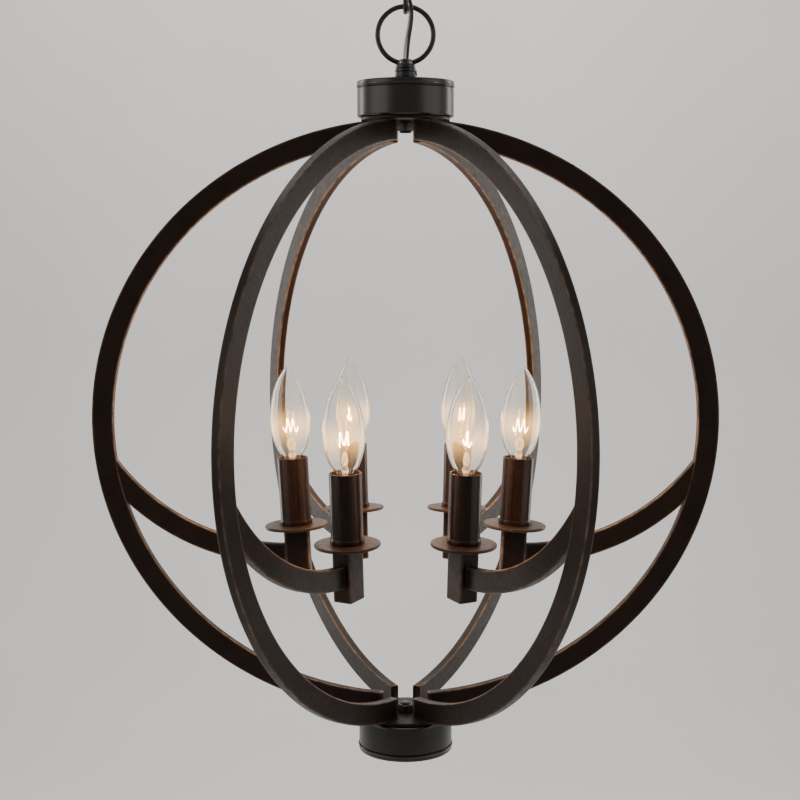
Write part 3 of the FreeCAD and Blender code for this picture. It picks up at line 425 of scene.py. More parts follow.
# The tinned wire is painted darker in the grooves between its twisted strands, a painted shade; the same mask
# raises its bumps.
tree.links.new(shades(tree, lay_with_painted_shade.outputs["Fac"], (0.1, (0.30, 0.27, 0.24)), (0.6, (0.74, 0.72, 0.68))),
               shader.inputs["Base Color"])
tree.links.new(spread(tree, grain(tree, 700, 3), 0.16, 0.30), shader.inputs["Roughness"])
shader.inputs["Coat Weight"].default_value = 0.8
raised(tree, shader, lay_with_painted_shade.outputs["Fac"], 0.0002)
brown_pvc, tree, shader = bare_finish("brown_strand", (0.028, 0.018, 0.013), 0.33)
tree.links.new(shades(tree, grain(tree, 300, 5), (0.3, (0.022, 0.014, 0.010)), (0.7, (0.045, 0.030, 0.022))),
               shader.inputs["Base Color"])
tree.links.new(spread(tree, grain(tree, 900, 3), 0.26, 0.42), shader.inputs["Roughness"])
raised(tree, shader, grain(tree, 1800, 2), 0.00003)

pivot = [-66.2, -95.9, -125.6]
link_middle = [(-61.9 - 95.9) / 2, (-91.6 - 125.6) / 2]
for name, finish, side in (("clear", tinned, -1), ("brown", brown_pvc, 1)):
    beside = 4.5 if side < 0 else 6.5
    through = 3.4 if side < 0 else 6.1
    in_tube = 1.3 * side
    route = [(-in_tube, 0, -1.3), (-in_tube, 0.01, -39.2), (-beside, beside, pivot[0]),
             (-through, 0, link_middle[0]), (-beside, -beside, pivot[1]), (0, -through, link_middle[1]),
             (beside, -beside, pivot[2]), (in_tube, -0.01, -153.6), (in_tube, 0, -180.6),
             (in_tube, 0.01, -199.9), (16 * side, 0, -199.9)]
    line = bpy.data.curves.new(name + "_route", "CURVE")
    line.dimensions = "3D"
    line.resolution_u = 24
    spline = line.splines.new("NURBS")
    spline.points.add(len(route) - 1)
    spline.points.foreach_set("co", np.array([(*point, 1) for point in route]).ravel())
    spline.order_u = 3
    spline.use_endpoint_u = True
    holder = bpy.data.objects.new(name + "_route", line)
    read = bpy.data.meshes.new_from_object(holder)
    centre = np.empty(len(read.vertices) * 3)
    read.vertices.foreach_get("co", centre)
    centre = centre.reshape(-1, 3)
    bpy.data.objects.remove(holder)
    ahead = np.gradient(centre, axis=0)
    ahead /= np.linalg.norm(ahead, axis=1, keepdims=True)
    aside = np.cross(ahead, [0.31, 0.87, 0.11])
    aside /= np.linalg.norm(aside, axis=1, keepdims=True)
    above = np.cross(aside, ahead)
    length = np.concatenate([[0], np.cumsum(np.linalg.norm(np.diff(centre, axis=0), axis=1))])
    tube = np.linspace(0, 2 * math.pi, 18, endpoint=False)[None, :, None]
    twist = np.cos(5 * tube[..., 0] + length[:, None] * 1.6)
    radius = 1.2 - (0.05 * (1 - twist) / 2 if side < 0 else 0)
    outward = aside[:, None] * np.cos(tube) + above[:, None] * np.sin(tube)
    grid = centre[:, None] + outward * (radius + 0 * twist)[..., None]
    first = int(np.argmin(np.abs(centre[:, 2] - link_middle[0])))
    second = int(np.argmin(np.abs(centre[:, 2] - link_middle[1])))
    spans = ((0, first, 0, "ceiling_fitting", "upper_link", ("supply_lead_canopy",)),
             (first, second, 1, "upper_link", "lower_link", ("supply_lead_link_1",)),
             (second, len(centre) - 1, 2, "lower_link", "chandelier",
              ("supply_lead_link_2", "supply_lead_loop")))
    for start, stop, number, body, next_body, stands_for in spans:
        rows = slice(start, stop + 1)
        length_of_lead = made(f"supply_{name}_{number + 1}", [skin(grid[rows], capped=True)], finish,
                              crease=60, wear_and_painted_light=((twist[rows] + 1) / 2).ravel())
        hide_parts(*stands_for)
        height = pivot[number] / 1000
        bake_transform(length_of_lead)

# ---------------------------------------------------------------------------------------
# Hanging ring and stem: a cast ring on a round base, a collar with a set screw under it,
# and the threaded tube that carries the hub, with its washer and nut. Ring and collar are
# satin bronze; tube, washer and nut are blackened steel.
dark_steel, tree, shader = bare_finish("blackened_steel", (0.05, 0.045, 0.042), 0.30, 1.0)
tree.links.new(shades(tree, grain(tree, 260, 5), (0.3, (0.032, 0.028, 0.026)), (0.7, (0.075, 0.066, 0.060))),
               shader.inputs["Base Color"])
tree.links.new(spread(tree, grain(tree, 500, 4), 0.24, 0.42), shader.inputs["Roughness"])
raised(tree, shader, grain(tree, 900, 3), 0.00003)


def moved(part, away=(0, 0, 0), turn=None):
    """A part turned by a 3 x 3 matrix and then moved."""
    points, faces = part
    if turn is not None:
        points = points @ np.asarray(turn).T
    return points + np.asarray(away, float), faces


low, high = millimetres("hang_loop")
cage_eye = ring_on_base(diameter=47.3, wire=4, centre=high[2] - 23.65, base_radius=7.75, base_low=low[2],
                        base_high=low[2] + 7.2, bore=3.8, quarter=False, up=True)
ring = made("hanging_ring", cage_eye, bronze_satin, "chandelier", 40)
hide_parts("hang_loop")
low, high = millimetres("loop_collar")
waisted = turned(softened([
    (5.2, low[2], 0.2), (8.3, low[2], 0.8), (8.3, low[2] + 2.2, 0.5), (7.9, low[2] + 2.6, 0.3),
    (7.9, high[2] - 2.6, 0.3), (8.3, high[2] - 2.2, 0.5), (8.3, high[2], 0.8), (5.2, high[2], 0.2)], 6), 96)
collar = made("stem_collar", [waisted], bronze_satin, "chandelier", 50)
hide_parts("loop_collar")

# The set screw lies along X: a shank, a domed head and a slot cut across it.
low, high = millimetres("loop_screw")
on_side = np.array([[0, 0, 1], [0, 1, 0], [-1, 0, 0]])
screw = turned(softened([
    (0, low[0], 0), (1.5, low[0], 0.3), (1.5, high[0] - 1, 0.1), (2.35, high[0] - 1, 0.2),
    (2.35, high[0] - 0.5, 0.3), (1.2, high[0] - 0.02, 0.6), (0, high[0] - 0.02, 0)], 6), 48)
screw_points, slot_floor, half_slot = screw[0], high[0] - 0.6, 0.3
in_slot = (np.abs(screw_points[:, 1]) < half_slot) & (screw_points[:, 2] > slot_floor)
screw_points[in_slot, 2] = slot_floor
screw = made("collar_screw", [moved(screw, (0, 0, (low[2] + high[2]) / 2), on_side)], zinc, "chandelier", 30)
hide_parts("loop_screw")

low, high = millimetres("stem_nipple")
tube = made("stem_tube", [threaded(5, 3.8, low[2], high[2])], dark_steel, "chandelier", 50)
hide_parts("stem_nipple")
low, high = millimetres("stem_washer")
flat_ring = turned(softened([
    (5.1, low[2], 0.2), (8.5, low[2], 0.4), (8.5, high[2], 0.4), (5.1, high[2], 0.2)]), 72)
washer = made("stem_washer_ring", [flat_ring], dark_steel, "chandelier", 40)
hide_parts("stem_washer")
low, high = millimetres("stem_nut")
nut = made("stem_hexagon", [hexagon_nut(14, 5.1, low[2], high[2])], dark_steel, "chandelier", 25)
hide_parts("stem_nut")

# ---------------------------------------------------------------------------------------
# Hubs: each is a deep-drawn steel cup with a pressed lid on its mouth, over the turned disc
# that the ribs are screwed to. Satin bronze, with a fine seam where lid and cup meet.
# The terminal block and the screws inside are moulded nylon and zinc-plated steel.
stem_hole, inner_wall, sheet = 5.15, 36.4, 1.2


def pressed_cup(floor, seam):
    """A cup from its floor to its mouth, which is rolled in a little at the seam."""
    inward = 1 if seam > floor else -1
    return turned(softened([
        (stem_hole, floor, 0.2), (37.75, floor, 1.6), (37.75, seam - 1.5 * inward, 0.8),
        (37.2, seam - 0.7 * inward, 0.5), (37.2, seam, 0.1), (inner_wall, seam, 0.1),
        (inner_wall, floor + sheet * inward, 1.2), (stem_hole, floor + sheet * inward, 0.2)], 7), 160)


def pressed_lid(seam, face):
    """A lid: an upright skirt with a small bead at its foot and a rounded upper edge."""
    inward = 1 if seam > face else -1
    return turned(softened([
        (stem_hole, face, 0.2), (37.6, face, 1.1), (38.0, face + 1.5 * inward, 0.8),
        (38.0, seam - 1.3 * inward, 0.3), (38.55, seam - 0.7 * inward, 0.6), (38.3, seam, 0.3),
        (inner_wall, seam, 0.1), (inner_wall, face + sheet * inward, 0.9),
        (stem_hole, face + sheet * inward, 0.2)], 7), 160)


for cup, lid, plate, way in (("hub_cup", "hub_lid", "top_plate", 1),
                             ("bottom_cup", "bottom_lid", "bottom_plate", -1)):
    low, high = millimetres(cup)
    floor_level, seam = (low[2], high[2]) if way > 0 else (high[2], low[2])
    thing = made(cup + "_pressing", [pressed_cup(floor_level, seam)], bronze_satin, "chandelier", 40)
    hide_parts(cup)
    low, high = millimetres(lid)
    face = high[2] if way > 0 else low[2]
    thing = made(lid + "_pressing", [pressed_lid(seam, face)], bronze_satin, "chandelier", 40)
    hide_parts(lid)
    low, high = millimetres(plate)
    disc = turned(softened([(stem_hole, low[2], 0.2), (34.75, low[2], 0.7), (34.75, high[2], 0.7),
                            (stem_hole, high[2], 0.2)], 6), 144)
    thing = made(plate + "_disc", [disc], bronze, "chandelier", 40)
    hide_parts(plate)

low, high = millimetres("bottom_stud")
head = turned(softened([(0, low[2], 0), (7, low[2], 0.35), (7, low[2] + 0.5, 0.1), (4, low[2] + 0.5, 0),
                        (4, high[2] - 0.8, 0.3), (3.2, high[2], 0.2), (0, high[2], 0)], 5), 72)
stud = made("bottom_stud_rod", [head], bronze_satin, "chandelier", 40)
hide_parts("bottom_stud")
low, high = millimetres("bottom_nut")
nut = made("bottom_hexagon", [hexagon_nut(14, 4.1, low[2], high[2])], dark_steel, "chandelier", 25)
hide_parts("bottom_nut")

nylon, tree, shader = bare_finish("pale_nylon", (0.78, 0.77, 0.71), 0.45)
tree.links.new(shades(tree, grain(tree, 90, 5), (0.3, (0.74, 0.72, 0.66)), (0.7, (0.82, 0.80, 0.75))),
               shader.inputs["Base Color"])
tree.links.new(spread(tree, grain(tree, 400, 4), 0.38, 0.54), shader.inputs["Roughness"])
raised(tree, shader, grain(tree, 1300, 2), 0.00004)
for node, finish in (("terminal_block", nylon), ("top_screws", zinc), ("bottom_screws", zinc)):
    finished(node, finish)

# ---------------------------------------------------------------------------------------
# Ribs: rectangular steel tube, 17 by 7, rolled to half an oval, cut square at both ends and
# capped. The powder coat is thin on the corners, and a paler line is painted there: partly wear, partly a
# painted highlight along the edges.
def bar_section(depth, thickness, corner=0.75):
    """Round a rectangular bar: place across its depth, place across its thickness, and a mask that is partly
    wear, partly painted highlight.

    Each corner is a quarter circle; a point 0.9 before and after it ends the paler line of wear and painted
    highlight.
    """
    turn = np.linspace(0, math.pi / 2, 6)
    fade = 0.9
    sections = []
    for number, (sign_depth, sign_thick) in enumerate(((1, 1), (-1, 1), (-1, -1), (1, -1))):
        angle = turn + number * math.pi / 2
        u = depth / 2 + sign_depth * (depth / 2 - corner) + corner * np.cos(angle)
        v = sign_thick * (thickness / 2 - corner) + corner * np.sin(angle)
        depths = np.r_[u[0] + fade * np.sin(angle[0]), u, u[-1] - fade * np.sin(angle[-1])]
        sides = np.r_[v[0] - fade * np.cos(angle[0]), v, v[-1] + fade * np.cos(angle[-1])]
        wear_and_highlight = np.array([0, 0.55, 0.9, 1, 1, 0.9, 0.55, 0])
        sections.append(np.stack([depths, sides, wear_and_highlight], axis=1))
    return np.concatenate(sections)


# A rib lies between two ellipses, a bar's depth apart, and stops short of the axis.
bar_depth, rib_thickness = 17, 7
half_width, half_height = 250, 239
inner_width, inner_height = half_width - bar_depth, half_height - bar_depth
end_from_axis, end_level = 18, 237
section = bar_section(bar_depth, rib_thickness)
part, side, wear_and_highlight = section[:, 0] / bar_depth, section[:, 1], section[:, 2]
sweep = np.linspace(-1, 1, 220)[:, None]
outer_turn = sweep * math.acos(end_from_axis / half_width)
inner_turn = sweep * math.acos(end_from_axis / inner_width)
rib_x = (1 - part) * inner_width * np.cos(inner_turn) + part * half_width * np.cos(outer_turn)
rib_z = (1 - part) * inner_height * np.sin(inner_turn) + part * half_height * np.sin(outer_turn)
rib_z = np.clip(rib_z, -end_level, end_level)
rib_grid = np.stack([rib_x, np.broadcast_to(side, rib_x.shape), rib_z], axis=-1)
# Each end closes with two slightly smaller rings, and its edge is set back, so it is soft.
edge_back = 0.35
mean = rib_grid.mean(axis=1, keepdims=True)
shrink = np.array([0.955, 0.985])[:, None, None]
first_cap = mean[:1] + (rib_grid[:1] - mean[:1]) * shrink
last_cap = mean[-1:] + (rib_grid[-1:] - mean[-1:]) * shrink[::-1]
body_rows = rib_grid.copy()
body_rows[[0, -1], :, 0] += edge_back
rib_grid = np.concatenate([first_cap, body_rows, last_cap])
rib_wear_and_highlight = np.broadcast_to(wear_and_highlight, (rib_grid.shape[0], wear_and_highlight.size)).copy()
# The rings at each end are painted fully pale: partly wear of the cut edge, partly a painted highlight on it.
rib_wear_and_highlight[[1, 2, -3, -2]] = 1


def round_axis(angle):
    """The matrix that turns a point about Z by an angle in degrees."""
    c, s = math.cos(math.radians(angle)), math.sin(math.radians(angle))
    return np.array([[c, -s, 0], [s, c, 0], [0, 0, 1]])


middle_mm = cage_middle * 1000
for number in range(6):
    part_of_rib = moved(skin(rib_grid, capped=True), (0, 0, middle_mm), round_axis(60 * number))
    rib = made(f"rib_bar_{number + 1}", [part_of_rib], bronze, "chandelier", 50, wear_and_painted_light=rib_wear_and_highlight.ravel())
    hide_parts(f"rib_{number + 1}")

# ---------------------------------------------------------------------------------------
# Arms: the same bar, rolled to a part of a circle and welded inside each rib. It leaves the
# rib on a slant and comes in level to the candle's post; the welds are ground nearly flush.
arm_radius, arm_thickness = 168, 6.8
post_out, post_down, lean = 86.5, 106.8, math.radians(3)
bend_middle = np.array([95.7, arm_radius + bar_depth / 2 - post_down])
arm_section = bar_section(bar_depth, arm_thickness)
ring_radius, side, wear_and_highlight = arm_radius + arm_section[:, 0], arm_section[:, 1], arm_section[:, 2]


def meeting(distance, near, far):
    """For each ring radius, the turn between near and far at which a distance is zero."""
    low = np.full(ring_radius.shape, math.radians(near))
    high = np.full(ring_radius.shape, math.radians(far))
    for _ in range(40):
        middle = (low + high) / 2
        x = bend_middle[0] + ring_radius * np.cos(middle)
        z = bend_middle[1] + ring_radius * np.sin(middle)
        inside = distance(x, z) < 0
        low, high = np.where(inside, middle, low), np.where(inside, high, middle)
    return (low + high) / 2


into_rib, into_post = 1.2, 9.2
at_rib = meeting(lambda x, z: (x / (inner_width + into_rib)) ** 2 + (z / (inner_height + into_rib)) ** 2 - 1,
                 -80, -10)
at_post = meeting(lambda x, z: (x - post_out) * math.cos(lean) - (z + post_down) * math.sin(lean) - into_post,
                  -110, -60)
sweep = np.linspace(0, 1, 70)[:, None]
turn = at_post + (at_rib - at_post) * sweep
arm_grid = np.stack([bend_middle[0] + ring_radius * np.cos(turn), np.broadcast_to(side, turn.shape),
                     bend_middle[1] + ring_radius * np.sin(turn)], axis=-1)
arm_wear_and_highlight = np.broadcast_to(wear_and_highlight, turn.shape)


def weld_bead(turn_of, offset):
    """A ground weld round the bar's end: the bar's own outline, 0.18 proud in the middle.

    Its rings go 1.5 to either side of the joint: proud = 0.28 (1 - along^2) - 0.10.
    """
    along = np.linspace(-1, 1, 7)[:, None]
    turn = turn_of + (along * 1.5 + offset) / ring_radius
    proud = 0.28 * (1 - along ** 2) - 0.10
    scale = 1 + proud / (arm_thickness / 2)
    ripple = 0.05 * np.sin(np.arange(turn.shape[1]) * 2.4)[None, :] * (1 - along ** 2)
    radius = ring_radius + (ring_radius - arm_radius - bar_depth / 2) / (bar_depth / 2) * (proud + ripple)
    x, z = bend_middle[0] + radius * np.cos(turn), bend_middle[1] + radius * np.sin(turn)
    return np.stack([x, side * scale, z], axis=-1)


post_bead = weld_bead(at_post, 1.2)
for number in range(6):
    parts = [moved(skin(arm_grid, capped=True), (0, 0, middle_mm), round_axis(60 * number)),
             moved(skin(post_bead, capped=True), (0, 0, middle_mm), round_axis(60 * number))]
    # The bar's corners and the weld bead are painted paler: partly wear, partly a painted highlight.
    both = np.concatenate([arm_wear_and_highlight.ravel(), np.full(post_bead.shape[0] * post_bead.shape[1], 0.25)])
    arm = made(f"arm_bar_{number + 1}", parts, bronze, "chandelier", 50, wear_and_painted_light=both)
    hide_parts(f"arm_{number + 1}")

# ---------------------------------------------------------------------------------------
# Candle posts: blocks of square tube on the arms' ends, closed below, edges lightly rounded.
# Each leans outwards by three degrees and is drilled for the short threaded tube.
post_rise, plate_thickness = 23.5, 1.2
candle_matrices = []
for number in range(6):
    tilt = np.array([[math.cos(lean), 0, math.sin(lean)], [0, 1, 0], [-math.sin(lean), 0, math.cos(lean)]])
    turn_out = round_axis(60 * number) @ tilt
    post_middle = np.array([post_out, 0, middle_mm - post_down])
    top = round_axis(60 * number) @ (post_middle + tilt @ np.array([0, 0, post_rise + plate_thickness]))
    candle_matrices.append((turn_out, top))


def on_candles(*parts):
    """Copies of parts at the six candles; their own zero is the top of the drip plate."""
    return [moved(part, top, turn_out) for turn_out, top in candle_matrices for part in parts]


block = bar_section(20, 16, 1.5)
level = np.array([-44.7, -44.45, -44.0, -43.2, -4, -1.9, -1.45, -1.2])[:, None]
inset = np.array([1.0, 0.35, 0.08, 0, 0, 0.08, 0.35, 0.9])[:, None]
x = (block[:, 0] - 10) * (1 - inset / 10)
y = block[:, 1] * (1 - inset / 8)
post_grid = np.stack([x, y, level + 0 * x], axis=-1)
# The block's corners and its top and bottom edges are painted paler: partly wear, partly a painted highlight.
edge_wear_and_highlight = np.array([0.2, 1, 1, 0, 0, 0.5, 1, 0.2])[:, None]
post_wear_and_highlight = np.maximum(np.broadcast_to(block[:, 2] * 0.8, x.shape), edge_wear_and_highlight)
posts = made("candle_blocks", on_candles(skin(post_grid, capped=True)), bronze, "chandelier", 50,
             wear_and_painted_light=np.tile(post_wear_and_highlight.ravel(), 6))
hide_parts("candle_posts")
tubes = made("candle_tubes", on_candles(threaded(5, 3.8, -12.2, 11.8)), zinc, "chandelier", 50)
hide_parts("candle_nipples")

# ---------------------------------------------------------------------------------------
# Drip plates: spun steel saucers with the edge turned down, coated in a brown bronze that
# is a little smoother than the bars' coat. Each is clamped between post and sleeve.
plate_paint, tree, shader = bare_finish("plate_coat", (0.026, 0.014, 0.009), 0.36)
tree.links.new(shades(tree, grain(tree, 70, 7), (0.3, (0.015, 0.008, 0.005)), (0.7, (0.029, 0.016, 0.010))),
               shader.inputs["Base Color"])
shader.inputs["Specular Tint"].default_value = (1.0, 0.78, 0.60, 1)
tree.links.new(spread(tree, grain(tree, 300, 5), 0.30, 0.44), shader.inputs["Roughness"])
raised(tree, shader, grain(tree, 1500, 2), 0.00006)
saucer = turned(softened([
    (5.1, -plate_thickness, 0.1), (23.6, -plate_thickness, 0.5), (23.9, -2.55, 0.3), (24.7, -2.6, 0.3),
    (25.25, -1.6, 0.6), (25.2, -0.35, 0.5), (24.5, 0, 0.5), (5.1, 0, 0.1)], 6), 120)
plates = made("drip_saucers", on_candles(saucer), plate_paint, "chandelier", 40)
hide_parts("drip_plates")

# ---------------------------------------------------------------------------------------
# Candle sleeves: thin drawn tube with a wider foot, satin dark bronze with fine lines along
# it; inside are the black lamp socket, of moulded plastic, and its brass screw shell.
sleeve_paint, tree, shader = bare_finish("sleeve_coat", (0.008, 0.004, 0.003), 0.26)
sleeve_brown = shades(tree, grain(tree, 60, 6), (0.3, (0.0044, 0.0023, 0.0018)),
                      (0.7, (0.0092, 0.0044, 0.0031)))
tree.links.new(sleeve_brown, shader.inputs["Base Color"])
shader.inputs["Specular IOR Level"].default_value = 0.4
shader.inputs["Specular Tint"].default_value = (1.0, 0.70, 0.52, 1)
tree.links.new(spread(tree, grain(tree, 260, 5, (1, 1, 0.08)), 0.20, 0.36), shader.inputs["Roughness"])
raised(tree, shader, grain(tree, 900, 3, (1, 1, 0.06)), 0.00004)
shader.inputs["Coat Weight"].default_value = 0.12
shader.inputs["Coat Roughness"].default_value = 0.16
sleeve_height, sleeve_bore = 54, 11.2
tube = turned(softened([
    (sleeve_bore, 0.02, 0.1), (13.0, 0.02, 0.3), (13.0, 3.4, 0.5), (12.3, 4.0, 0.5),
    (12.3, sleeve_height, 0.35), (sleeve_bore, sleeve_height, 0.35)], 6), 96)
sleeves = made("sleeve_tubes", on_candles(tube), sleeve_paint, "chandelier", 40)
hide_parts("candle_sleeves")

black_plastic, tree, shader = bare_finish("black_moulding", (0.03, 0.03, 0.03), 0.5)
tree.links.new(shades(tree, grain(tree, 80, 5), (0.3, (0.024, 0.023, 0.022)), (0.7, (0.042, 0.040, 0.038))),
               shader.inputs["Base Color"])
tree.links.new(spread(tree, grain(tree, 500, 4), 0.42, 0.60), shader.inputs["Roughness"])
raised(tree, shader, grain(tree, 1400, 2), 0.00004)
brass, tree, shader = bare_finish("stamped_brass", (0.72, 0.50, 0.22), 0.3, 1.0)
tree.links.new(shades(tree, grain(tree, 200, 5), (0.3, (0.62, 0.42, 0.18)), (0.7, (0.80, 0.58, 0.28))),
               shader.inputs["Base Color"])
tree.links.new(spread(tree, grain(tree, 500, 4), 0.22, 0.40), shader.inputs["Roughness"])
raised(tree, shader, grain(tree, 900, 3), 0.00003)
for node, finish in (("lamp_sockets", black_plastic), ("socket_shells", brass), ("branch_leads", brown_pvc)):
    finished(node, finish)

# ---------------------------------------------------------------------------------------
# Lamps: blown clear glass drawn to a tip, a glass stem with its wires and a coiled filament,
# and a nickel-plated cap with a rolled thread, a dark glass washer and a soldered contact.
glass, tree, shader = bare_finish("clear_glass", (1.0, 0.985, 0.96), 0.0)
shader.inputs["Transmission Weight"].default_value = 1.0
shader.inputs["IOR"].default_value = 1.47
tree.links.new(spread(tree, grain(tree, 40, 3), 0.0, 0.03), shader.inputs["Roughness"])
raised(tree, shader, grain(tree, 55, 2), 0.00006, 0.5)


def painted_glow(tree, shader, colour, most):
    """Painted glow on a surface that is no lamp: warm emission from its mask attribute times the most it
    gives.
    """
    shader.inputs["Emission Color"].default_value = (*colour, 1)
    glow = tree.nodes.new("ShaderNodeAttribute")
    glow.attribute_name = "wear_and_painted_light"
    strength = tree.nodes.new("ShaderNodeMath")
    strength.operation = "MULTIPLY"
    strength.inputs[1].default_value = most
    tree.links.new(glow.outputs["Fac"], strength.inputs[0])
    tree.links.new(strength.outputs[0], shader.inputs["Emission Strength"])


# The clear glass gets a painted glow: warm emission on the glass itself, where really the filament lights it.
painted_glow(tree, shader, (1.0, 0.50, 0.10), 0.40)
nickel, tree, shader = bare_finish("nickel_plate", (0.66, 0.62, 0.55), 0.25, 1.0)
tree.links.new(shades(tree, grain(tree, 240, 5), (0.3, (0.58, 0.54, 0.47)), (0.7, (0.74, 0.70, 0.62))),
               shader.inputs["Base Color"])
tree.links.new(spread(tree, grain(tree, 600, 4), 0.18, 0.36), shader.inputs["Roughness"])
raised(tree, shader, grain(tree, 900, 3), 0.00003)
cap_glass, tree, shader = bare_finish("dark_glass", (0.015, 0.014, 0.02), 0.15)
tree.links.new(spread(tree, grain(tree, 300, 4), 0.08, 0.25), shader.inputs["Roughness"])
glowing, tree, shader = bare_finish("glowing_coil", (1.0, 0.6, 0.25), 0.5)
shader.inputs["Emission Color"].default_value = (1.0, 0.70, 0.36, 1)
tree.links.new(spread(tree, grain(tree, 700, 3), 70, 120), shader.inputs["Emission Strength"])
wire_steel, tree, shader = bare_finish("support_wire", (0.75, 0.68, 0.55), 0.3, 1.0)
tree.links.new(spread(tree, grain(tree, 500, 3), 0.2, 0.45), shader.inputs["Roughness"])
# The glass stem is given a painted glow too: warm emission on it, stronger towards the filament.
stem_glass_painted_glow, tree, shader = bare_finish("stem_glass_painted_glow", (1.0, 0.90, 0.72), 0.08)
shader.inputs["Transmission Weight"].default_value = 0.9
shader.inputs["IOR"].default_value = 1.5
tree.links.new(spread(tree, grain(tree, 400, 4), 0.02, 0.2), shader.inputs["Roughness"])
painted_glow(tree, shader, (1.0, 0.60, 0.20), 0.42)


def smooth_through(points, count, last):
    """Points on the natural cubic spline through a list, over its chord lengths, up to one of them.

    Between two of the list it is P + L t + B t^2 + C t^3, with t from the first of them.
    """
    points = np.array(points, float)
    knot = np.concatenate([[0], np.cumsum(np.linalg.norm(np.diff(points, axis=0), axis=1))])
    step = np.diff(knot)
    slope = np.diff(points, axis=0) / step[:, None]
    size = len(points)
    system, right = np.eye(size), np.zeros_like(points)
    inner = np.arange(1, size - 1)
    system[inner, inner - 1], system[inner, inner + 1] = step[:-1], step[1:]
    system[inner, inner] = 2 * (step[:-1] + step[1:])
    right[inner] = 3 * (slope[1:] - slope[:-1])
    bend = np.linalg.solve(system, right)
    place = np.linspace(0, knot[last], count)
    cell = np.clip(np.searchsorted(knot, place, side="right") - 1, 0, size - 2)
    t = (place - knot[cell])[:, None]
    width = step[cell][:, None]
    linear = slope[cell] - width * (2 * bend[cell] + bend[cell + 1]) / 3
    cubic = (bend[cell + 1] - bend[cell]) / (3 * width)
    return points[cell] + linear * t + bend[cell] * t ** 2 + cubic * t ** 3


# Glass: its outline by parts of 79 high and 15.9 wide, mirrored past the tip to round it.
tall, belly, glass_wall = 79.0, 15.9, 0.7
parts_of = [(0.0, 0.4), (0.073, 0.46), (0.134, 0.648), (0.237, 0.862), (0.44, 1.0), (0.62, 0.92),
            (0.77, 0.73), (0.88, 0.48), (0.95, 0.25), (0.985, 0.11), (1.0, 0.0), (0.985, -0.11),
            (0.95, -0.25)]
outside = smooth_through([(belly * out, tall * up) for up, out in parts_of], 90, 10)
outside[-1, 0] = 0
direction = np.gradient(outside, axis=0)
direction /= np.linalg.norm(direction, axis=1, keepdims=True)
inward = np.stack([-direction[:, 1], direction[:, 0]], axis=1)
inside = outside + inward * glass_wall
inside[:, 0] = np.maximum(inside[:, 0], 0)
inside[-1] = (0, outside[-1, 1] - 0.75)
bulb = turned(np.concatenate([inside[::-1], outside]), 72)
# Its painted glow, warm emission on the glass itself, is strongest at the filament: 0.02 + 0.98 exp(-((z -
# filament_level) / 10)^2).
filament_level = 31
glass_painted_glow = 0.02 + 0.98 * np.exp(-((bulb[0][:, 2] - filament_level) / 10) ** 2)


def tube_along(line, radius, steps=8):
    """A closed wire along points: P + radius (aside cos turn + above sin turn), square to it at each."""
    line = np.array(line, float)
    ahead = np.gradient(line, axis=0)
    ahead /= np.linalg.norm(ahead, axis=1, keepdims=True)
    aside = np.cross(ahead, [0.13, 0.97, 0.21])
    aside /= np.linalg.norm(aside, axis=1, keepdims=True)
    above = np.cross(aside, ahead)
    turn = np.linspace(0, 2 * math.pi, steps, endpoint=False)[None, :, None]
    grid = line[:, None] + radius * (aside[:, None] * np.cos(turn) + above[:, None] * np.sin(turn))
    return skin(grid, capped=True)


# Stem: a flare at the cap that narrows to a beaded tube and a flat pinch, wide along X.
stem_line = smooth_through([(0, 4.3), (2.5, 3.3), (5.5, 2.2), (8.5, 2.9), (11.5, 1.9), (14.5, 2.6), (18, 2.1),
                            (21, 1.4), (22, 0.2)], 56, 8)
rise, flare = stem_line[:, :1], stem_line[:, 1:]
pinch = np.clip((rise - 11) / 6, 0, 1)
turn = np.linspace(0, 2 * math.pi, 32, endpoint=False)[None, :]
stem_grid = np.stack([flare * (1 + 0.7 * pinch) * np.cos(turn), flare * (1 - 0.45 * pinch) * np.sin(turn),
                      rise + 0 * turn], axis=-1)
# Its painted glow grows towards the filament: (rise / 20)^1.5, at most 1.
stem_painted_glow = np.broadcast_to(np.clip(rise / 20, 0, 1) ** 1.5, stem_grid.shape[:2])

# Wires: two carry the current and two hold the filament, which zigzags among their ends.
ends = [(-6.0, 0, 30.0), (-2.2, 1.8, 36.5), (2.2, -1.8, 36.5), (6.0, 0, 30.0)]
wires = []
for end, foot in zip(ends, (-1.9, -0.6, 0.6, 1.9)):
    beside_end = (end[0] * 0.75, end[1] * 0.8, end[2] - 4)
    line = smooth_through([(foot, 0, 14), (foot * 1.1, 0, 22), beside_end, end], 16, 3)
    wires.append(tube_along(line, 0.16))
bends = [ends[0], (-4.4, 1.0, 26.4), ends[1], (0, 0, 27.0), ends[2], (4.4, -1.0, 26.4), ends[3]]
coil_line = smooth_through(bends, 700, 6)
turns = np.linspace(0, 2 * math.pi * 58, 700)
loops = np.stack([0.5 * np.cos(turns), np.sin(turns), np.cos(turns)], axis=-1)
coil = tube_along(coil_line + 0.55 * loops, 0.2, 6)

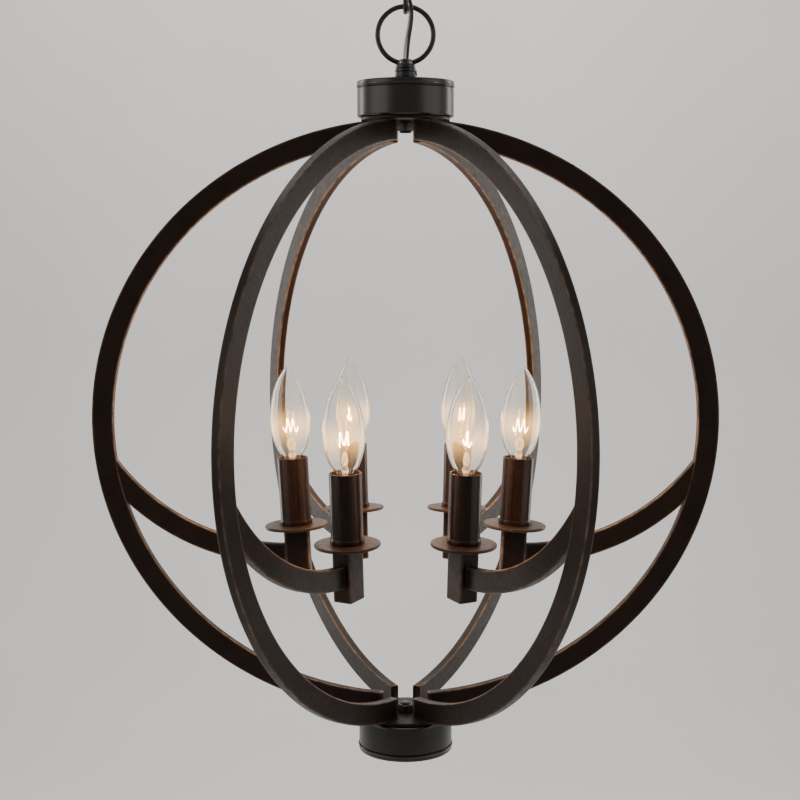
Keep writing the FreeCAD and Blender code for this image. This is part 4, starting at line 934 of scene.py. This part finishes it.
# Cap: a rolled thread, r = 6.62 + 0.3 cos(2 pi z / 2.82 - turn), closed over the dark washer.
turn = np.linspace(0, 2 * math.pi, 72, endpoint=False)[:, None]
height = np.linspace(-18.4, -1.2, 110)[None, :]
fade = np.clip(np.minimum(height + 18.4, -1.2 - height) / 1.6, 0, 1)
thread = 6.62 + 0.3 * fade * np.cos(2 * math.pi * height / 2.82 - turn)
below = np.broadcast_to([[0.0, 5.2]], (72, 2))
shoulder = np.broadcast_to([[6.9, 6.6, 5.0, 0.0]], (72, 4))
radius = np.concatenate([below, thread, shoulder], axis=1)
level = np.concatenate([[-19.0, -19.0], height[0], [-0.6, 0.0, 0.0, 0.0]])[None, :]
cap = skin(round_grid(radius, turn, level), closed_along=True, closed_round=False)
washer = turned(softened([
    (0, -18.95, 0), (5.1, -18.95, 0.2), (4.6, -20.4, 1.0), (2.8, -22.2, 0.4), (0, -22.2, 0)], 5), 48)
contact = turned(softened([(0, -22.1, 0), (2.6, -22.1, 0.2), (2.5, -23.0, 0.5), (0, -23.49, 0)], 5), 48)
cap_top = 48.2
for number, (turn_out, top) in enumerate(candle_matrices, 1):
    body = f"bulb_{number}"
    seat = top + turn_out @ np.array([0, 0, cap_top])

    def seated(*parts):
        """The lamp's parts on its own candle."""
        return [moved(part, seat, turn_out) for part in parts]

    thing = made(f"lamp_glass_{number}", seated(bulb), glass, body, 60, wear_and_painted_light=glass_painted_glow)
    thing.visible_shadow = False
    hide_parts(f"bulb_glass_{number}")
    thing = made(f"lamp_cap_{number}", seated(cap), nickel, body, 45)
    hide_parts(f"bulb_base_{number}")
    for name, parts, finish, crease in (
            ("washer", [washer], cap_glass, 40), ("contact", [contact], nickel, 40),
            ("wires", wires, wire_steel, 60), ("filament", [coil], glowing, 60)):
        thing = made(f"lamp_{name}_{number}", seated(*parts), finish, body, crease)
    thing = made(f"lamp_stem_{number}", seated(skin(stem_grid, capped=True)), stem_glass_painted_glow, body, 60,
                 wear_and_painted_light=stem_painted_glow.ravel())
    # The lamp's own warm light, at the filament.
    lamp = bpy.data.lights.new(f"lamp_light_{number}", "POINT")
    lamp.energy, lamp.color, lamp.shadow_soft_size = 1.5, (1.0, 0.60, 0.28), 0.006
    light = bpy.data.objects.new(f"lamp_light_{number}", lamp)
    light.location = (seat + turn_out @ np.array([0, 0, 32.0])) * 0.001
    light.visible_camera = light.visible_transmission = light.visible_glossy = False
    bpy.context.scene.collection.objects.link(light)
